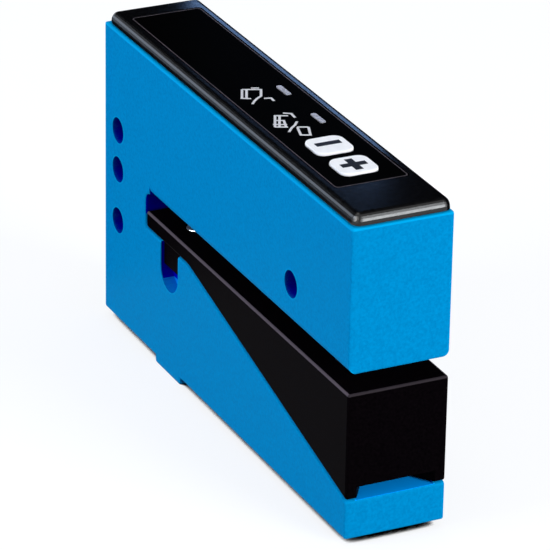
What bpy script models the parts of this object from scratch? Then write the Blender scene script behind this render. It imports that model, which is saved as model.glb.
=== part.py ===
"""Fork sensor for label gaps: a cast C-shaped housing, a black control cover with two keys,
a black moulded lower arm, a pair of transducers that face each other across the fork, and
the boards, leads and plug inlet that serve them.

Model frame while building: x from the rear face towards the fork's mouth, y from the middle
of the width towards the far side, z up from the underside of the housing.
"""
import math

import bmesh
import bpy
from mathutils import Matrix, Vector

MM = 0.001

# Fits that several pieces share
SEAT_GAP = 0.3 * MM
THIN_GAP = 0.2 * MM
OVERSHOOT = 1.0 * MM

# Housing, outside
LENGTH = 86.4 * MM
WIDTH = 16.0 * MM
SPINE_DEPTH = 15.7 * MM
LOWER_ARM_TOP = 23.1 * MM
FORK_GAP = 3.05 * MM
UPPER_ARM_HEIGHT = 22.55 * MM
ARM_EDGE_RADIUS = 1.5 * MM
SLOT_CORNER_RADIUS = 0.8 * MM
FORK_ROOT_RADIUS = 1.6 * MM
EDGE_ROUND = 0.35 * MM
SHOULDER_DROP = 2.9 * MM
SHOULDER_LENGTH = 15.7 * MM
RAMP_BLEND_RADIUS = 9.0 * MM
LIP_HEIGHT = 6.05 * MM
LUG_SETBACK = 4.0 * MM
LUG_LENGTH = 9.3 * MM
LUG_DROP = 1.15 * MM

# Mounting holes and latch windows
MOUNT_HOLE_DIAMETER = 4.2 * MM
REAR_HOLE_X = 5.2 * MM
FRONT_HOLE_SETBACK = 19.1 * MM
UPPER_HOLE_RISE = 6.15 * MM
MIDDLE_HOLE_STEP = 6.6 * MM
LOW_HOLE_STEP = 8.7 * MM
WINDOW_SETBACK = 5.9 * MM
WINDOW_WIDTH = 6.5 * MM
WINDOW_DEPTH = 7.2 * MM
WINDOW_BITE = 0.2 * MM

# Housing, inside
SIDE_WALL = 1.8 * MM
FRONT_WALL = 2.2 * MM
REAR_WALL = 9.5 * MM
ARM_FLOOR = 2.2 * MM
GASKET_LEDGE_DEPTH = 2.6 * MM
BOARD_LEDGE_DEPTH = 5.1 * MM
LEDGE_WIDTH = 0.8 * MM
HOLE_WALL = 1.8 * MM
CHANNEL_DEPTH = 2.3 * MM
CHANNEL_WIDTH = 6.0 * MM
PASSAGE_BOTTOM = 6.0 * MM
PASSAGE_HEIGHT = 4.0 * MM
TROUGH_FLOOR = 2.2 * MM
TROUGH_SETBACK = 1.0 * MM
SHELF_DEPTH = 8.4 * MM
POST_LENGTH = 8.7 * MM
POST_WIDTH = 4.6 * MM

# Transducers, one in each arm, on one axis
TRANSDUCER_SETBACK = 10.7 * MM
TRANSDUCER_DIAMETER = 7.0 * MM
TRANSDUCER_LENGTH = 8.0 * MM
TRANSDUCER_RECESS = 0.2 * MM
SEAL_THICKNESS = 0.5 * MM
SEAL_LENGTH = 3.5 * MM
SEAL_SUNK = 0.2 * MM
WELL_STEP = 1.1 * MM
WELL_WALL = 1.6 * MM

# Cover, gasket and label membrane
COVER_RISE = 2.0 * MM
COVER_SIDE_INSET = 0.33 * MM
COVER_REAR_INSET = 0.9 * MM
COVER_TOP_CORNER_RADIUS = 0.15 * MM
COVER_SHOULDER = 1.1 * MM
COVER_SHOULDER_DROP = 1.5 * MM
SKIRT_WALL = 1.0 * MM
SKIRT_DROP = 1.2 * MM
GASKET_HEIGHT = 0.8 * MM
LABEL_REAR = 5.0 * MM
LABEL_SETBACK = 9.6 * MM
LABEL_SIDE_INSET = 2.0 * MM
LABEL_CORNER_RADIUS = 0.8 * MM
LABEL_DEPTH = 0.6 * MM
LABEL_THICKNESS = 0.35 * MM

# Keys and their travel
KEY_LENGTH = 5.9 * MM
KEY_WIDTH = 6.0 * MM
KEY_CORNER_RADIUS = 1.5 * MM
KEY_PROUD = 0.25 * MM
KEY_EDGE_ROUND = 0.15 * MM
KEY_FLANGE = 0.5 * MM
KEY_FLANGE_HEIGHT = 0.6 * MM
KEY_STEM_DIAMETER = 2.6 * MM
KEY_TRAVEL = 0.3 * MM
KEY_PLUS_SETBACK = 15.85 * MM
KEY_PITCH = 7.9 * MM

# Signal lamps
PIPE_LENGTH = 3.8 * MM
PIPE_WIDTH = 0.9 * MM
PIPE_END_RADIUS = 0.36 * MM
PIPE_INSET = 2.8 * MM
PIPE_FLANGE = 0.4 * MM
PIPE_FRONT_SETBACK = 33.9 * MM
PIPE_PITCH = 11.65 * MM
LAMP_LENGTH = 1.6 * MM
LAMP_WIDTH = 1.2 * MM
LAMP_HEIGHT = 0.7 * MM
LAMP_DISTANCE = 0.5 * MM

# Boards and what is soldered to them
BOARD_THICKNESS = 1.0 * MM
CASE_EDGE_ROUND = 0.12 * MM
KEY_BOARD_LENGTH = 50.0 * MM
KEY_BOARD_SETBACK = 7.0 * MM
SWITCH_SIZE = 4.6 * MM
SWITCH_HEIGHT = 1.5 * MM
SWITCH_CAP_DIAMETER = 2.4 * MM
SWITCH_CAP_HEIGHT = 0.4 * MM
MAIN_BOARD_SIDE_GAP = 3.0 * MM
MAIN_BOARD_FRONT_GAP = 0.4 * MM
HEADER_LENGTH = 9.0 * MM
HEADER_WIDTH = 2.0 * MM
HEADER_HEIGHT = 2.6 * MM
HEADER_SETBACK = 44.0 * MM
CHIP_SIZE = 7.0 * MM
CHIP_HEIGHT = 1.2 * MM
AMPLIFIER_LENGTH = 5.0 * MM
AMPLIFIER_WIDTH = 4.0 * MM
CAPACITOR_DIAMETER = 3.0 * MM
CAPACITOR_LENGTH = 5.5 * MM
CAPACITOR_DROP = 1.5 * MM
CRIMP_SETBACK = 0.55 * MM
CRIMP_HEIGHT = 0.55 * MM
CRIMP_DEPTH = 0.15 * MM

# Lower arm moulding and its screws
INSERT_REAR_GAP = 0.5 * MM
CORE_DROP = 4.2 * MM
CORE_WALL = 1.5 * MM
INSERT_ROOF = 1.7 * MM
HOLLOW_SETBACK = 17.8 * MM
NOTCH_HEIGHT = 2.2 * MM
NOTCH_LEG = 1.7 * MM
NOTCH_TAPER = 2.0 * MM
NOTCH_TAPER_DEPTH = 3.0 * MM
TAB_RECESS = 0.5 * MM
TAB_DROP = 3.65 * MM
SCREW_SETBACK = 9.1 * MM
SCREW_OFFSET = 3.4 * MM
SCREW_DIAMETER = 1.6 * MM
SCREW_HEAD_DIAMETER = 3.2 * MM
SCREW_HEAD_HEIGHT = 1.0 * MM
SCREW_LENGTH = 13.0 * MM
SCREW_SUNK = 0.2 * MM
SCREW_CROWN = 0.4 * MM
RECESS_LENGTH = 1.8 * MM
RECESS_WIDTH = 0.45 * MM
LOWER_BOARD_DROP = 2.8 * MM
LOWER_BOARD_REAR_GAP = 3.3 * MM
LOWER_BOARD_FRONT_GAP = 0.4 * MM

# Plug inlet on the rear face
INLET_DROP = 7.7 * MM
INLET_REACH = 8.6 * MM
INLET_THREAD_DIAMETER = 8.0 * MM
INLET_WALL = 1.0 * MM
INLET_NECK_WALL = 0.6 * MM
INLET_FLANGE_DIAMETER = 10.2 * MM
INLET_FLANGE_HEIGHT = 1.5 * MM
INLET_SPOT_DEPTH = 0.4 * MM
INLET_SEAL_SECTION = 0.7 * MM
CARRIER_RECESS = 5.0 * MM
CARRIER_INNER_GAP = 1.5 * MM
CONTACT_DIAMETER = 0.9 * MM
CONTACT_CIRCLE_DIAMETER = 3.0 * MM
CONTACT_RECESS = 1.2 * MM
CONTACT_TAIL = 2.4 * MM
CONTACT_TIP_DIAMETER = 0.54 * MM
CODING_GROOVE_DEPTH = 0.7 * MM

# Leads
LEAD_WIDTH = 2.6 * MM
LEAD_THICKNESS = 0.3 * MM
WIRE_DIAMETER = 0.8 * MM

# Roundness of turned pieces
BORE_STEPS = 32
SMALL_STEPS = 20
SECTION_STEPS = 10
ARC_STEPS = 6

# Heights and places that follow from the sizes above
RAMP_START = SPINE_DEPTH + SHOULDER_LENGTH
UPPER_ARM_BOTTOM = LOWER_ARM_TOP + FORK_GAP
HOUSING_HEIGHT = UPPER_ARM_BOTTOM + UPPER_ARM_HEIGHT
SHOULDER_HEIGHT = LOWER_ARM_TOP - SHOULDER_DROP
HALF_WIDTH = WIDTH / 2
CAVITY_HALF = HALF_WIDTH - SIDE_WALL
FRONT_HOLE_X = LENGTH - FRONT_HOLE_SETBACK
UPPER_HOLE_Z = UPPER_ARM_BOTTOM + UPPER_HOLE_RISE
MIDDLE_HOLE_Z = UPPER_HOLE_Z - MIDDLE_HOLE_STEP
LOW_HOLE_Z = MIDDLE_HOLE_Z - LOW_HOLE_STEP
HOLE_BLOCK = MOUNT_HOLE_DIAMETER / 2 + HOLE_WALL
BLOCK_REAR = FRONT_HOLE_X - HOLE_BLOCK
BLOCK_TOP = UPPER_HOLE_Z + HOLE_BLOCK
ARM_CAVITY_FLOOR = UPPER_ARM_BOTTOM + ARM_FLOOR
LOW_CAVITY_REAR = REAR_WALL + 2 * LEDGE_WIDTH
LOW_CAVITY_HALF = CAVITY_HALF - 2 * LEDGE_WIDTH
TROUGH_REAR = SPINE_DEPTH + TROUGH_SETBACK
SHELF_REAR = LENGTH - SHELF_DEPTH
WINDOW_REAR = SPINE_DEPTH + WINDOW_SETBACK
WINDOW_BOTTOM = SHOULDER_HEIGHT - WINDOW_DEPTH
CORE_BOTTOM = SHOULDER_HEIGHT - CORE_DROP
POST_TOP = CORE_BOTTOM - SEAT_GAP
SCREW_X = SPINE_DEPTH + SCREW_SETBACK
TRANSDUCER_X = LENGTH - TRANSDUCER_SETBACK
WELL_RADIUS = TRANSDUCER_DIAMETER / 2 + SEAL_THICKNESS + 2 * SEAT_GAP
COVER_BOTTOM = HOUSING_HEIGHT + SEAT_GAP
COVER_TOP = HOUSING_HEIGHT + COVER_RISE
LABEL_FLOOR = COVER_TOP - LABEL_DEPTH
LABEL_HALF = HALF_WIDTH - LABEL_SIDE_INSET
LABEL_TOP = LABEL_FLOOR + THIN_GAP + LABEL_THICKNESS
KEY_BOARD_BOTTOM = HOUSING_HEIGHT - BOARD_LEDGE_DEPTH + SEAT_GAP
KEY_BOARD_TOP = KEY_BOARD_BOTTOM + BOARD_THICKNESS
SWITCH_TOP = KEY_BOARD_TOP + THIN_GAP + SWITCH_HEIGHT + SWITCH_CAP_HEIGHT
KEY_PLUS_X = LENGTH - KEY_PLUS_SETBACK
KEY_MINUS_X = KEY_PLUS_X - KEY_PITCH
PIPE_FRONT_X = LENGTH - PIPE_FRONT_SETBACK
PIPE_REAR_X = PIPE_FRONT_X - PIPE_PITCH
PIPE_OFFSET = LABEL_HALF - PIPE_INSET
INLET_Z = HOUSING_HEIGHT - INLET_DROP
NECK_RADIUS = INLET_THREAD_DIAMETER / 2 - INLET_WALL + INLET_NECK_WALL
INLET_BORE_RADIUS = NECK_RADIUS + SEAT_GAP
SEAL_GROOVE_FLOOR = INLET_SPOT_DEPTH + INLET_SEAL_SECTION + SEAT_GAP
CONTACT_END = REAR_WALL + CONTACT_TAIL
MAIN_BOARD_OFFSET = LOW_CAVITY_HALF - MAIN_BOARD_SIDE_GAP
MAIN_BOARD_REAR = CONTACT_END + SEAT_GAP
MAIN_BOARD_FRONT = BLOCK_REAR - MAIN_BOARD_FRONT_GAP
MAIN_BOARD_TOP = KEY_BOARD_BOTTOM - SEAT_GAP
LEAD_X = LOW_CAVITY_REAR + CHANNEL_DEPTH / 2
HOLLOW_FRONT = TRANSDUCER_X - WELL_RADIUS - WELL_WALL
HOLLOW_REAR = SPINE_DEPTH + HOLLOW_SETBACK
HOLLOW_HALF = CAVITY_HALF - SEAT_GAP - CORE_WALL
TRANSMITTER_BACK = LOWER_ARM_TOP - TRANSDUCER_RECESS - TRANSDUCER_LENGTH
WIRE_WAY_BOTTOM = TRANSMITTER_BACK - SEAT_GAP - 3 * WIRE_DIAMETER
LOWER_BOARD_TOP = LOWER_ARM_TOP - INSERT_ROOF - LOWER_BOARD_DROP
LOWER_BOARD_BOTTOM = LOWER_BOARD_TOP - BOARD_THICKNESS
LOWER_BOARD_FRONT = HOLLOW_FRONT - LOWER_BOARD_FRONT_GAP
LOWER_BOARD_REAR = HOLLOW_REAR + LOWER_BOARD_REAR_GAP


def clear_scene():
    for old in list(bpy.data.objects):
        bpy.data.objects.remove(old, do_unlink=True)


def make_finish(name, colour, roughness, metallic=0.0):
    finish = bpy.data.materials.new(name)
    finish.use_nodes = True
    shader = finish.node_tree.nodes["Principled BSDF"]
    shader.inputs["Base Color"].default_value = (*colour, 1.0)
    shader.inputs["Roughness"].default_value = roughness
    shader.inputs["Metallic"].default_value = metallic
    finish.diffuse_color = (*colour, 1.0)
    return finish


def object_from(shape, name):
    bmesh.ops.recalc_face_normals(shape, faces=shape.faces)
    mesh = bpy.data.meshes.new(name)
    shape.to_mesh(mesh)
    shape.free()
    piece = bpy.data.objects.new(name, mesh)
    bpy.context.collection.objects.link(piece)
    return piece


def round_corners(corners, steps=ARC_STEPS):
    """Turn (a, b, radius) corners into points, with an arc at each corner that has a radius."""
    points = []
    count = len(corners)
    for index, (a, b, radius) in enumerate(corners):
        here = Vector((a, b))
        if radius <= 0:
            points.append(here)
            continue
        before = Vector(corners[index - 1][:2]) - here
        after = Vector(corners[(index + 1) % count][:2]) - here
        half = before.angle(after) / 2
        inset = radius / math.tan(half)
        start = here + before.normalized() * inset
        centre = here + (before.normalized() + after.normalized()).normalized() * radius / math.sin(half)
        first = start - centre
        turn = math.pi - 2 * half
        if before.x * after.y - before.y * after.x > 0:
            turn = -turn
        for step in range(steps + 1):
            points.append(centre + Matrix.Rotation(turn * step / steps, 2) @ first)
    return points


def prism(name, points, low, high, along="y"):
    """Extrude an outline: (x, z) points along y, (x, y) points along z, (y, z) points along x."""
    place = {
        "x": lambda p, d: (d, p[0], p[1]),
        "y": lambda p, d: (p[0], d, p[1]),
        "z": lambda p, d: (p[0], p[1], d),
    }[along]
    shape = bmesh.new()
    first = [shape.verts.new(place(point, low)) for point in points]
    last = [shape.verts.new(place(point, high)) for point in points]
    shape.faces.new(first)
    shape.faces.new(last)
    for index in range(len(points)):
        after = (index + 1) % len(points)
        shape.faces.new((first[index], first[after], last[after], last[index]))
    return object_from(shape, name)


def block(name, x, y, z):
    outline = [(x[0], y[0]), (x[1], y[0]), (x[1], y[1]), (x[0], y[1])]
    return prism(name, outline, z[0], z[1], "z")


def tablet(name, centre, size, z, radius):
    """A plate with rounded corners in plan, centred on (x, y)."""
    half_x = size[0] / 2
    half_y = size[1] / 2
    corners = [
        (centre[0] - half_x, centre[1] - half_y, radius),
        (centre[0] + half_x, centre[1] - half_y, radius),
        (centre[0] + half_x, centre[1] + half_y, radius),
        (centre[0] - half_x, centre[1] + half_y, radius),
    ]
    return prism(name, round_corners(corners), z[0], z[1], "z")


def ring_of(shape, radius, height, steps):
    angles = [2 * math.pi * step / steps for step in range(steps)]
    return [shape.verts.new((radius * math.cos(a), radius * math.sin(a), height)) for a in angles]


def bridge(shape, lower, upper):
    for step in range(len(lower)):
        after = (step + 1) % len(lower)
        shape.faces.new((lower[step], lower[after], upper[after], upper[step]))


def close_end(shape, ring, height):
    """Close a turned solid's end with one flat face, or with a cone up to the axis."""
    if math.isclose(ring[0].co.z, height):
        shape.faces.new(ring)
        return
    tip = shape.verts.new((0, 0, height))
    for step in range(len(ring)):
        shape.faces.new((ring[step], ring[(step + 1) % len(ring)], tip))


def turned(name, profile, centre, along="z", steps=SMALL_STEPS):
    """Revolve (radius, height) points round the x, y or z axis through centre.

    A profile that starts and ends on the axis gives a solid, and any other gives a tube.
    """
    shape = bmesh.new()
    rings = [ring_of(shape, radius, height, steps) for radius, height in profile if radius > 0]
    for lower, upper in zip(rings, rings[1:]):
        bridge(shape, lower, upper)
    if profile[0][0] > 0:
        bridge(shape, rings[-1], rings[0])
    else:
        close_end(shape, rings[0], profile[0][1])
        close_end(shape, rings[-1], profile[-1][1])
    turn = {
        "z": Matrix.Identity(4),
        "x": Matrix.Rotation(math.pi / 2, 4, "Y"),
        "y": Matrix.Rotation(-math.pi / 2, 4, "X"),
    }[along]
    bmesh.ops.transform(shape, matrix=Matrix.Translation(centre) @ turn, verts=shape.verts)
    return object_from(shape, name)


def rod(name, radius, low, high, centre, along="z", steps=SMALL_STEPS):
    profile = [(0, low), (radius, low), (radius, high), (0, high)]
    return turned(name, profile, centre, along, steps)


def bake(piece):
    """Replace a piece's mesh with what its modifiers make of it."""
    seen = piece.evaluated_get(bpy.context.evaluated_depsgraph_get())
    result = bpy.data.meshes.new_from_object(seen)
    piece.modifiers.clear()
    piece.data = result


def combine(piece, tool, operation):
    change = piece.modifiers.new(tool.name, "BOOLEAN")
    change.operation = operation
    change.solver = "EXACT"
    change.object = tool
    bake(piece)
    bpy.data.objects.remove(tool, do_unlink=True)


def cut(piece, *tools):
    for tool in tools:
        combine(piece, tool, "DIFFERENCE")


def join(piece, *tools):
    for tool in tools:
        combine(piece, tool, "UNION")


def soften(piece, width, segments=2, angle=50):
    """Round the edges that are sharper than the angle."""
    change = piece.modifiers.new("soften", "BEVEL")
    change.width = width
    change.segments = segments
    change.limit_method = "ANGLE"
    change.angle_limit = math.radians(angle)
    bake(piece)


def complete(piece, finish, origin, smooth_angle=35):
    """Give a piece its finish, its smooth shading and its place in the sensor."""
    piece.data.materials.clear()
    piece.data.materials.append(finish)
    piece.data.shade_smooth()
    piece.data.set_sharp_from_angle(angle=math.radians(smooth_angle))
    piece.parent = origin
    return piece


def hang_on(piece, point):
    """Move a piece's own origin to a point of the model frame, such as its joint's axis."""
    piece.data.transform(Matrix.Translation(-Vector(point)))
    piece.location = point


def ramp_height(x):
    """Height of the side wall's slanted edge at x."""
    share = (LENGTH - x) / (LENGTH - RAMP_START)
    return LIP_HEIGHT + share * (SHOULDER_HEIGHT - LIP_HEIGHT)


def housing_blank():
    outline = round_corners([
        (0, 0, 0),
        (SPINE_DEPTH + LUG_SETBACK, 0, 0),
        (SPINE_DEPTH + LUG_SETBACK, -LUG_DROP, 0),
        (SPINE_DEPTH + LUG_SETBACK + LUG_LENGTH, -LUG_DROP, 0),
        (SPINE_DEPTH + LUG_SETBACK + LUG_LENGTH, 0, 0),
        (LENGTH, 0, 0),
        (LENGTH, LIP_HEIGHT, 0),
        (RAMP_START, SHOULDER_HEIGHT, RAMP_BLEND_RADIUS),
        (SPINE_DEPTH, SHOULDER_HEIGHT, SLOT_CORNER_RADIUS),
        (SPINE_DEPTH, UPPER_ARM_BOTTOM, FORK_ROOT_RADIUS),
        (LENGTH, UPPER_ARM_BOTTOM, 0),
        (LENGTH, HOUSING_HEIGHT, 0),
        (0, HOUSING_HEIGHT, 0),
    ])
    blank = prism("housing", outline, -HALF_WIDTH, HALF_WIDTH)
    soften(blank, EDGE_ROUND)
    return blank


def arm_edge_strip(side):
    """What is taken off one long lower edge of the upper arm to round it."""
    face = side * HALF_WIDTH
    inner = side * (HALF_WIDTH - ARM_EDGE_RADIUS)
    outer = side * (HALF_WIDTH + OVERSHOOT)
    centre_z = UPPER_ARM_BOTTOM + ARM_EDGE_RADIUS
    below = UPPER_ARM_BOTTOM - OVERSHOOT
    points = [(outer, centre_z), (outer, below), (inner, below)]
    for step in range(ARC_STEPS + 1):
        angle = math.pi / 2 * (1 - step / ARC_STEPS)
        points.append((
            inner + (face - inner) * math.cos(angle),
            centre_z - ARM_EDGE_RADIUS * math.sin(angle),
        ))
    start = SPINE_DEPTH + FORK_ROOT_RADIUS
    return prism("arm_edge_strip", points, start, LENGTH + OVERSHOOT, "x")


def arm_cavities():
    """The stepped hollow of the upper arm: gasket ledge, board ledge and the deep part."""
    top = HOUSING_HEIGHT + OVERSHOOT
    tools = []
    for ledge, floor in ((0, GASKET_LEDGE_DEPTH), (1, BOARD_LEDGE_DEPTH)):
        inset = ledge * LEDGE_WIDTH
        tools.append(block(
            "ledge_cut",
            (REAR_WALL + inset, LENGTH - FRONT_WALL - inset),
            (-CAVITY_HALF + inset, CAVITY_HALF - inset),
            (HOUSING_HEIGHT - floor, top),
        ))
    front = LENGTH - FRONT_WALL - 2 * LEDGE_WIDTH
    outline = [
        (LOW_CAVITY_REAR, ARM_CAVITY_FLOOR),
        (BLOCK_REAR, ARM_CAVITY_FLOOR),
        (BLOCK_REAR, BLOCK_TOP),
        (front, BLOCK_TOP),
        (front, top),
        (LOW_CAVITY_REAR, top),
    ]
    tools.append(prism("deep_cut", outline, -LOW_CAVITY_HALF, LOW_CAVITY_HALF))
    return tools


def lead_channel():
    """The way of the flat lead down the spine and forward into the lower arm."""
    rear = LOW_CAVITY_REAR
    passage_top = PASSAGE_BOTTOM + PASSAGE_HEIGHT
    outline = [
        (rear, PASSAGE_BOTTOM),
        (TROUGH_REAR + OVERSHOOT, PASSAGE_BOTTOM),
        (TROUGH_REAR + OVERSHOOT, passage_top),
        (rear + CHANNEL_DEPTH, passage_top),
        (rear + CHANNEL_DEPTH, ARM_CAVITY_FLOOR + OVERSHOOT),
        (rear, ARM_CAVITY_FLOOR + OVERSHOOT),
    ]
    return prism("lead_channel", outline, -CHANNEL_WIDTH / 2, CHANNEL_WIDTH / 2)


def lower_trough():
    """The hollow between the lower side walls, with its open shelf at the front."""
    over = LOWER_ARM_TOP + OVERSHOOT
    outline = [
        (TROUGH_REAR, TROUGH_FLOOR),
        (SHELF_REAR, TROUGH_FLOOR),
        (SHELF_REAR, LIP_HEIGHT),
        (LENGTH + OVERSHOOT, LIP_HEIGHT),
        (LENGTH + OVERSHOOT, over),
        (TROUGH_REAR, over),
    ]
    return prism("lower_trough", outline, -CAVITY_HALF, CAVITY_HALF)


def screw_post(side):
    """A post against one side wall that closes the back of the latch window."""
    middle = WINDOW_REAR + WINDOW_WIDTH / 2
    near = side * (CAVITY_HALF + SIDE_WALL / 2)
    far = side * (CAVITY_HALF - POST_WIDTH)
    return block(
        "screw_post",
        (middle - POST_LENGTH / 2, middle + POST_LENGTH / 2),
        (min(near, far), max(near, far)),
        (TROUGH_FLOOR / 2, POST_TOP),
    )


def latch_window(side):
    """The round-bottomed window in one side wall."""
    radius = WINDOW_WIDTH / 2
    top = SHOULDER_HEIGHT + OVERSHOOT
    steps = 2 * ARC_STEPS
    points = [(WINDOW_REAR, top)]
    for step in range(steps + 1):
        angle = math.pi + math.pi * step / steps
        points.append((
            WINDOW_REAR + radius + radius * math.cos(angle),
            WINDOW_BOTTOM + radius + radius * math.sin(angle),
        ))
    points.append((WINDOW_REAR + WINDOW_WIDTH, top))
    outer = side * (HALF_WIDTH + OVERSHOOT)
    inner = side * (CAVITY_HALF - WINDOW_BITE)
    return prism("latch_window", points, min(outer, inner), max(outer, inner))


def mounting_hole(x, z):
    half = HALF_WIDTH + OVERSHOOT
    return rod("mounting_hole", MOUNT_HOLE_DIAMETER / 2, -half, half, (x, 0, z), "y", BORE_STEPS)


def screw_pilot(side):
    low = LOWER_ARM_TOP - SCREW_LENGTH - SCREW_SUNK - SEAT_GAP
    radius = SCREW_DIAMETER / 2 + SEAT_GAP
    centre = (SCREW_X, side * SCREW_OFFSET, 0)
    return rod("screw_pilot", radius, low, POST_TOP + OVERSHOOT, centre)


def inlet_bore():
    """The hole for the plug inlet, with a spot face for its flange and a groove for its seal."""
    spot = INLET_FLANGE_DIAMETER / 2 + SEAT_GAP
    groove = INLET_BORE_RADIUS + INLET_SEAL_SECTION + SEAT_GAP
    profile = [
        (0, -OVERSHOOT),
        (spot, -OVERSHOOT),
        (spot, INLET_SPOT_DEPTH),
        (groove, INLET_SPOT_DEPTH),
        (groove, SEAL_GROOVE_FLOOR),
        (INLET_BORE_RADIUS, SEAL_GROOVE_FLOOR),
        (INLET_BORE_RADIUS, LOW_CAVITY_REAR + OVERSHOOT),
        (0, LOW_CAVITY_REAR + OVERSHOOT),
    ]
    return turned("inlet_bore", profile, (0, 0, INLET_Z), "x", BORE_STEPS)


def make_housing():
    housing = housing_blank()
    cut(housing, arm_edge_strip(-1), arm_edge_strip(1), *arm_cavities())
    cut(housing, lead_channel(), lower_trough())
    join(housing, screw_post(-1), screw_post(1))
    cut(housing, latch_window(-1), latch_window(1), screw_pilot(-1), screw_pilot(1))
    for height in (UPPER_HOLE_Z, MIDDLE_HOLE_Z, LOW_HOLE_Z):
        cut(housing, mounting_hole(REAR_HOLE_X, height))
    cut(housing, mounting_hole(FRONT_HOLE_X, UPPER_HOLE_Z))
    cut(housing, transducer_well(UPPER_ARM_BOTTOM, BLOCK_TOP + OVERSHOOT, 1), inlet_bore())
    return housing


def transducer_well(face, end, way):
    """The stepped hole for a transducer, pressed in from the fork with its seal round it.

    way is the side of the face on which the arm lies, and end is where the wire's bore stops.
    """
    seat = face + way * (TRANSDUCER_RECESS + TRANSDUCER_LENGTH + SEAT_GAP)
    wire_bore = TRANSDUCER_DIAMETER / 2 - WELL_STEP
    profile = [
        (0, face - way * OVERSHOOT),
        (WELL_RADIUS, face - way * OVERSHOOT),
        (WELL_RADIUS, seat),
        (wire_bore, seat),
        (wire_bore, end),
        (0, end),
    ]
    return turned("transducer_well", profile, (TRANSDUCER_X, 0, 0), "z", BORE_STEPS)


def cover_outline(inset):
    """The cover in plan, drawn in from its side walls by inset."""
    rear = COVER_REAR_INSET + inset
    front = LENGTH - inset
    half = HALF_WIDTH - COVER_SIDE_INSET - inset
    radius = COVER_TOP_CORNER_RADIUS + COVER_SHOULDER - inset
    return round_corners([
        (rear, -half, radius),
        (front, -half, radius),
        (front, half, radius),
        (rear, half, radius),
    ])


def cover_blank():
    """A plate whose walls roll over into its top all round, in a quarter ellipse."""
    levels = [(0, COVER_BOTTOM)]
    for step in range(ARC_STEPS + 1):
        angle = math.pi / 2 * step / ARC_STEPS
        inset = COVER_SHOULDER * (1 - math.cos(angle))
        levels.append((inset, COVER_TOP - COVER_SHOULDER_DROP * (1 - math.sin(angle))))
    shape = bmesh.new()
    rings = []
    for inset, height in levels:
        rings.append([shape.verts.new((*point, height)) for point in cover_outline(inset)])
    for lower, upper in zip(rings, rings[1:]):
        bridge(shape, lower, upper)
    shape.faces.new(rings[0])
    shape.faces.new(rings[-1])
    return object_from(shape, "cover")


def cover_skirt():
    """The plug under the cover that centres it in the housing."""
    half = CAVITY_HALF - SEAT_GAP
    return block(
        "cover_skirt",
        (REAR_WALL + SEAT_GAP, LENGTH - FRONT_WALL - SEAT_GAP),
        (-half, half),
        (HOUSING_HEIGHT - SKIRT_DROP, COVER_BOTTOM + SEAT_GAP),
    )


def skirt_hollow():
    inset = SEAT_GAP + SKIRT_WALL
    half = CAVITY_HALF - inset
    return block(
        "skirt_hollow",
        (REAR_WALL + inset, LENGTH - FRONT_WALL - inset),
        (-half, half),
        (HOUSING_HEIGHT - SKIRT_DROP - OVERSHOOT, COVER_BOTTOM),
    )


def label_place(name, gap, z):
    low = LABEL_REAR + gap
    high = LENGTH - LABEL_SETBACK - gap
    size = (high - low, 2 * (LABEL_HALF - gap))
    return tablet(name, ((low + high) / 2, 0), size, z, LABEL_CORNER_RADIUS)


def key_window(x, z):
    size = (KEY_LENGTH + 2 * THIN_GAP, KEY_WIDTH + 2 * THIN_GAP)
    return tablet("key_window", (x, 0), size, z, KEY_CORNER_RADIUS)


def pipe_window(x, z):
    size = (PIPE_LENGTH + 2 * THIN_GAP, PIPE_WIDTH + 2 * THIN_GAP)
    return tablet("pipe_window", (x, PIPE_OFFSET), size, z, PIPE_END_RADIUS)


def cut_windows(piece, z):
    for x in (KEY_MINUS_X, KEY_PLUS_X):
        cut(piece, key_window(x, z))
    for x in (PIPE_REAR_X, PIPE_FRONT_X):
        cut(piece, pipe_window(x, z))


def make_cover():
    cover = cover_blank()
    join(cover, cover_skirt())
    cut(cover, skirt_hollow(), label_place("label_recess", 0, (LABEL_FLOOR, COVER_TOP + OVERSHOOT)))
    cut_windows(cover, (HOUSING_HEIGHT, COVER_TOP))
    return cover


def make_label():
    label = label_place("label_membrane", THIN_GAP, (LABEL_FLOOR + THIN_GAP, LABEL_TOP))
    cut_windows(label, (LABEL_FLOOR - OVERSHOOT, COVER_TOP + OVERSHOOT))
    return label


def make_gasket():
    bottom = HOUSING_HEIGHT - GASKET_LEDGE_DEPTH + SEAT_GAP
    top = bottom + GASKET_HEIGHT
    rear = REAR_WALL + SEAT_GAP
    front = LENGTH - FRONT_WALL - SEAT_GAP
    half = CAVITY_HALF - SEAT_GAP
    gasket = block("cover_gasket", (rear, front), (-half, half), (bottom, top))
    cut(gasket, block(
        "gasket_hole",
        (rear + LEDGE_WIDTH, front - LEDGE_WIDTH),
        (-half + LEDGE_WIDTH, half - LEDGE_WIDTH),
        (bottom - OVERSHOOT, top + OVERSHOOT),
    ))
    return gasket


def make_key(name, x):
    flange_top = COVER_BOTTOM - SEAT_GAP
    flange_bottom = flange_top - KEY_FLANGE_HEIGHT
    top = COVER_TOP + KEY_PROUD
    key = tablet(name, (x, 0), (KEY_LENGTH, KEY_WIDTH), (flange_top - THIN_GAP, top), KEY_CORNER_RADIUS)
    soften(key, KEY_EDGE_ROUND, 2)
    flange = (KEY_LENGTH + 2 * KEY_FLANGE, KEY_WIDTH + 2 * KEY_FLANGE)
    stem_bottom = SWITCH_TOP + SEAT_GAP + KEY_TRAVEL
    join(
        key,
        tablet("key_flange", (x, 0), flange, (flange_bottom, flange_top), KEY_CORNER_RADIUS),
        rod("key_stem", KEY_STEM_DIAMETER / 2, stem_bottom, flange_bottom + THIN_GAP, (x, 0, 0)),
    )
    hang_on(key, (x, 0, top))
    return key


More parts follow.
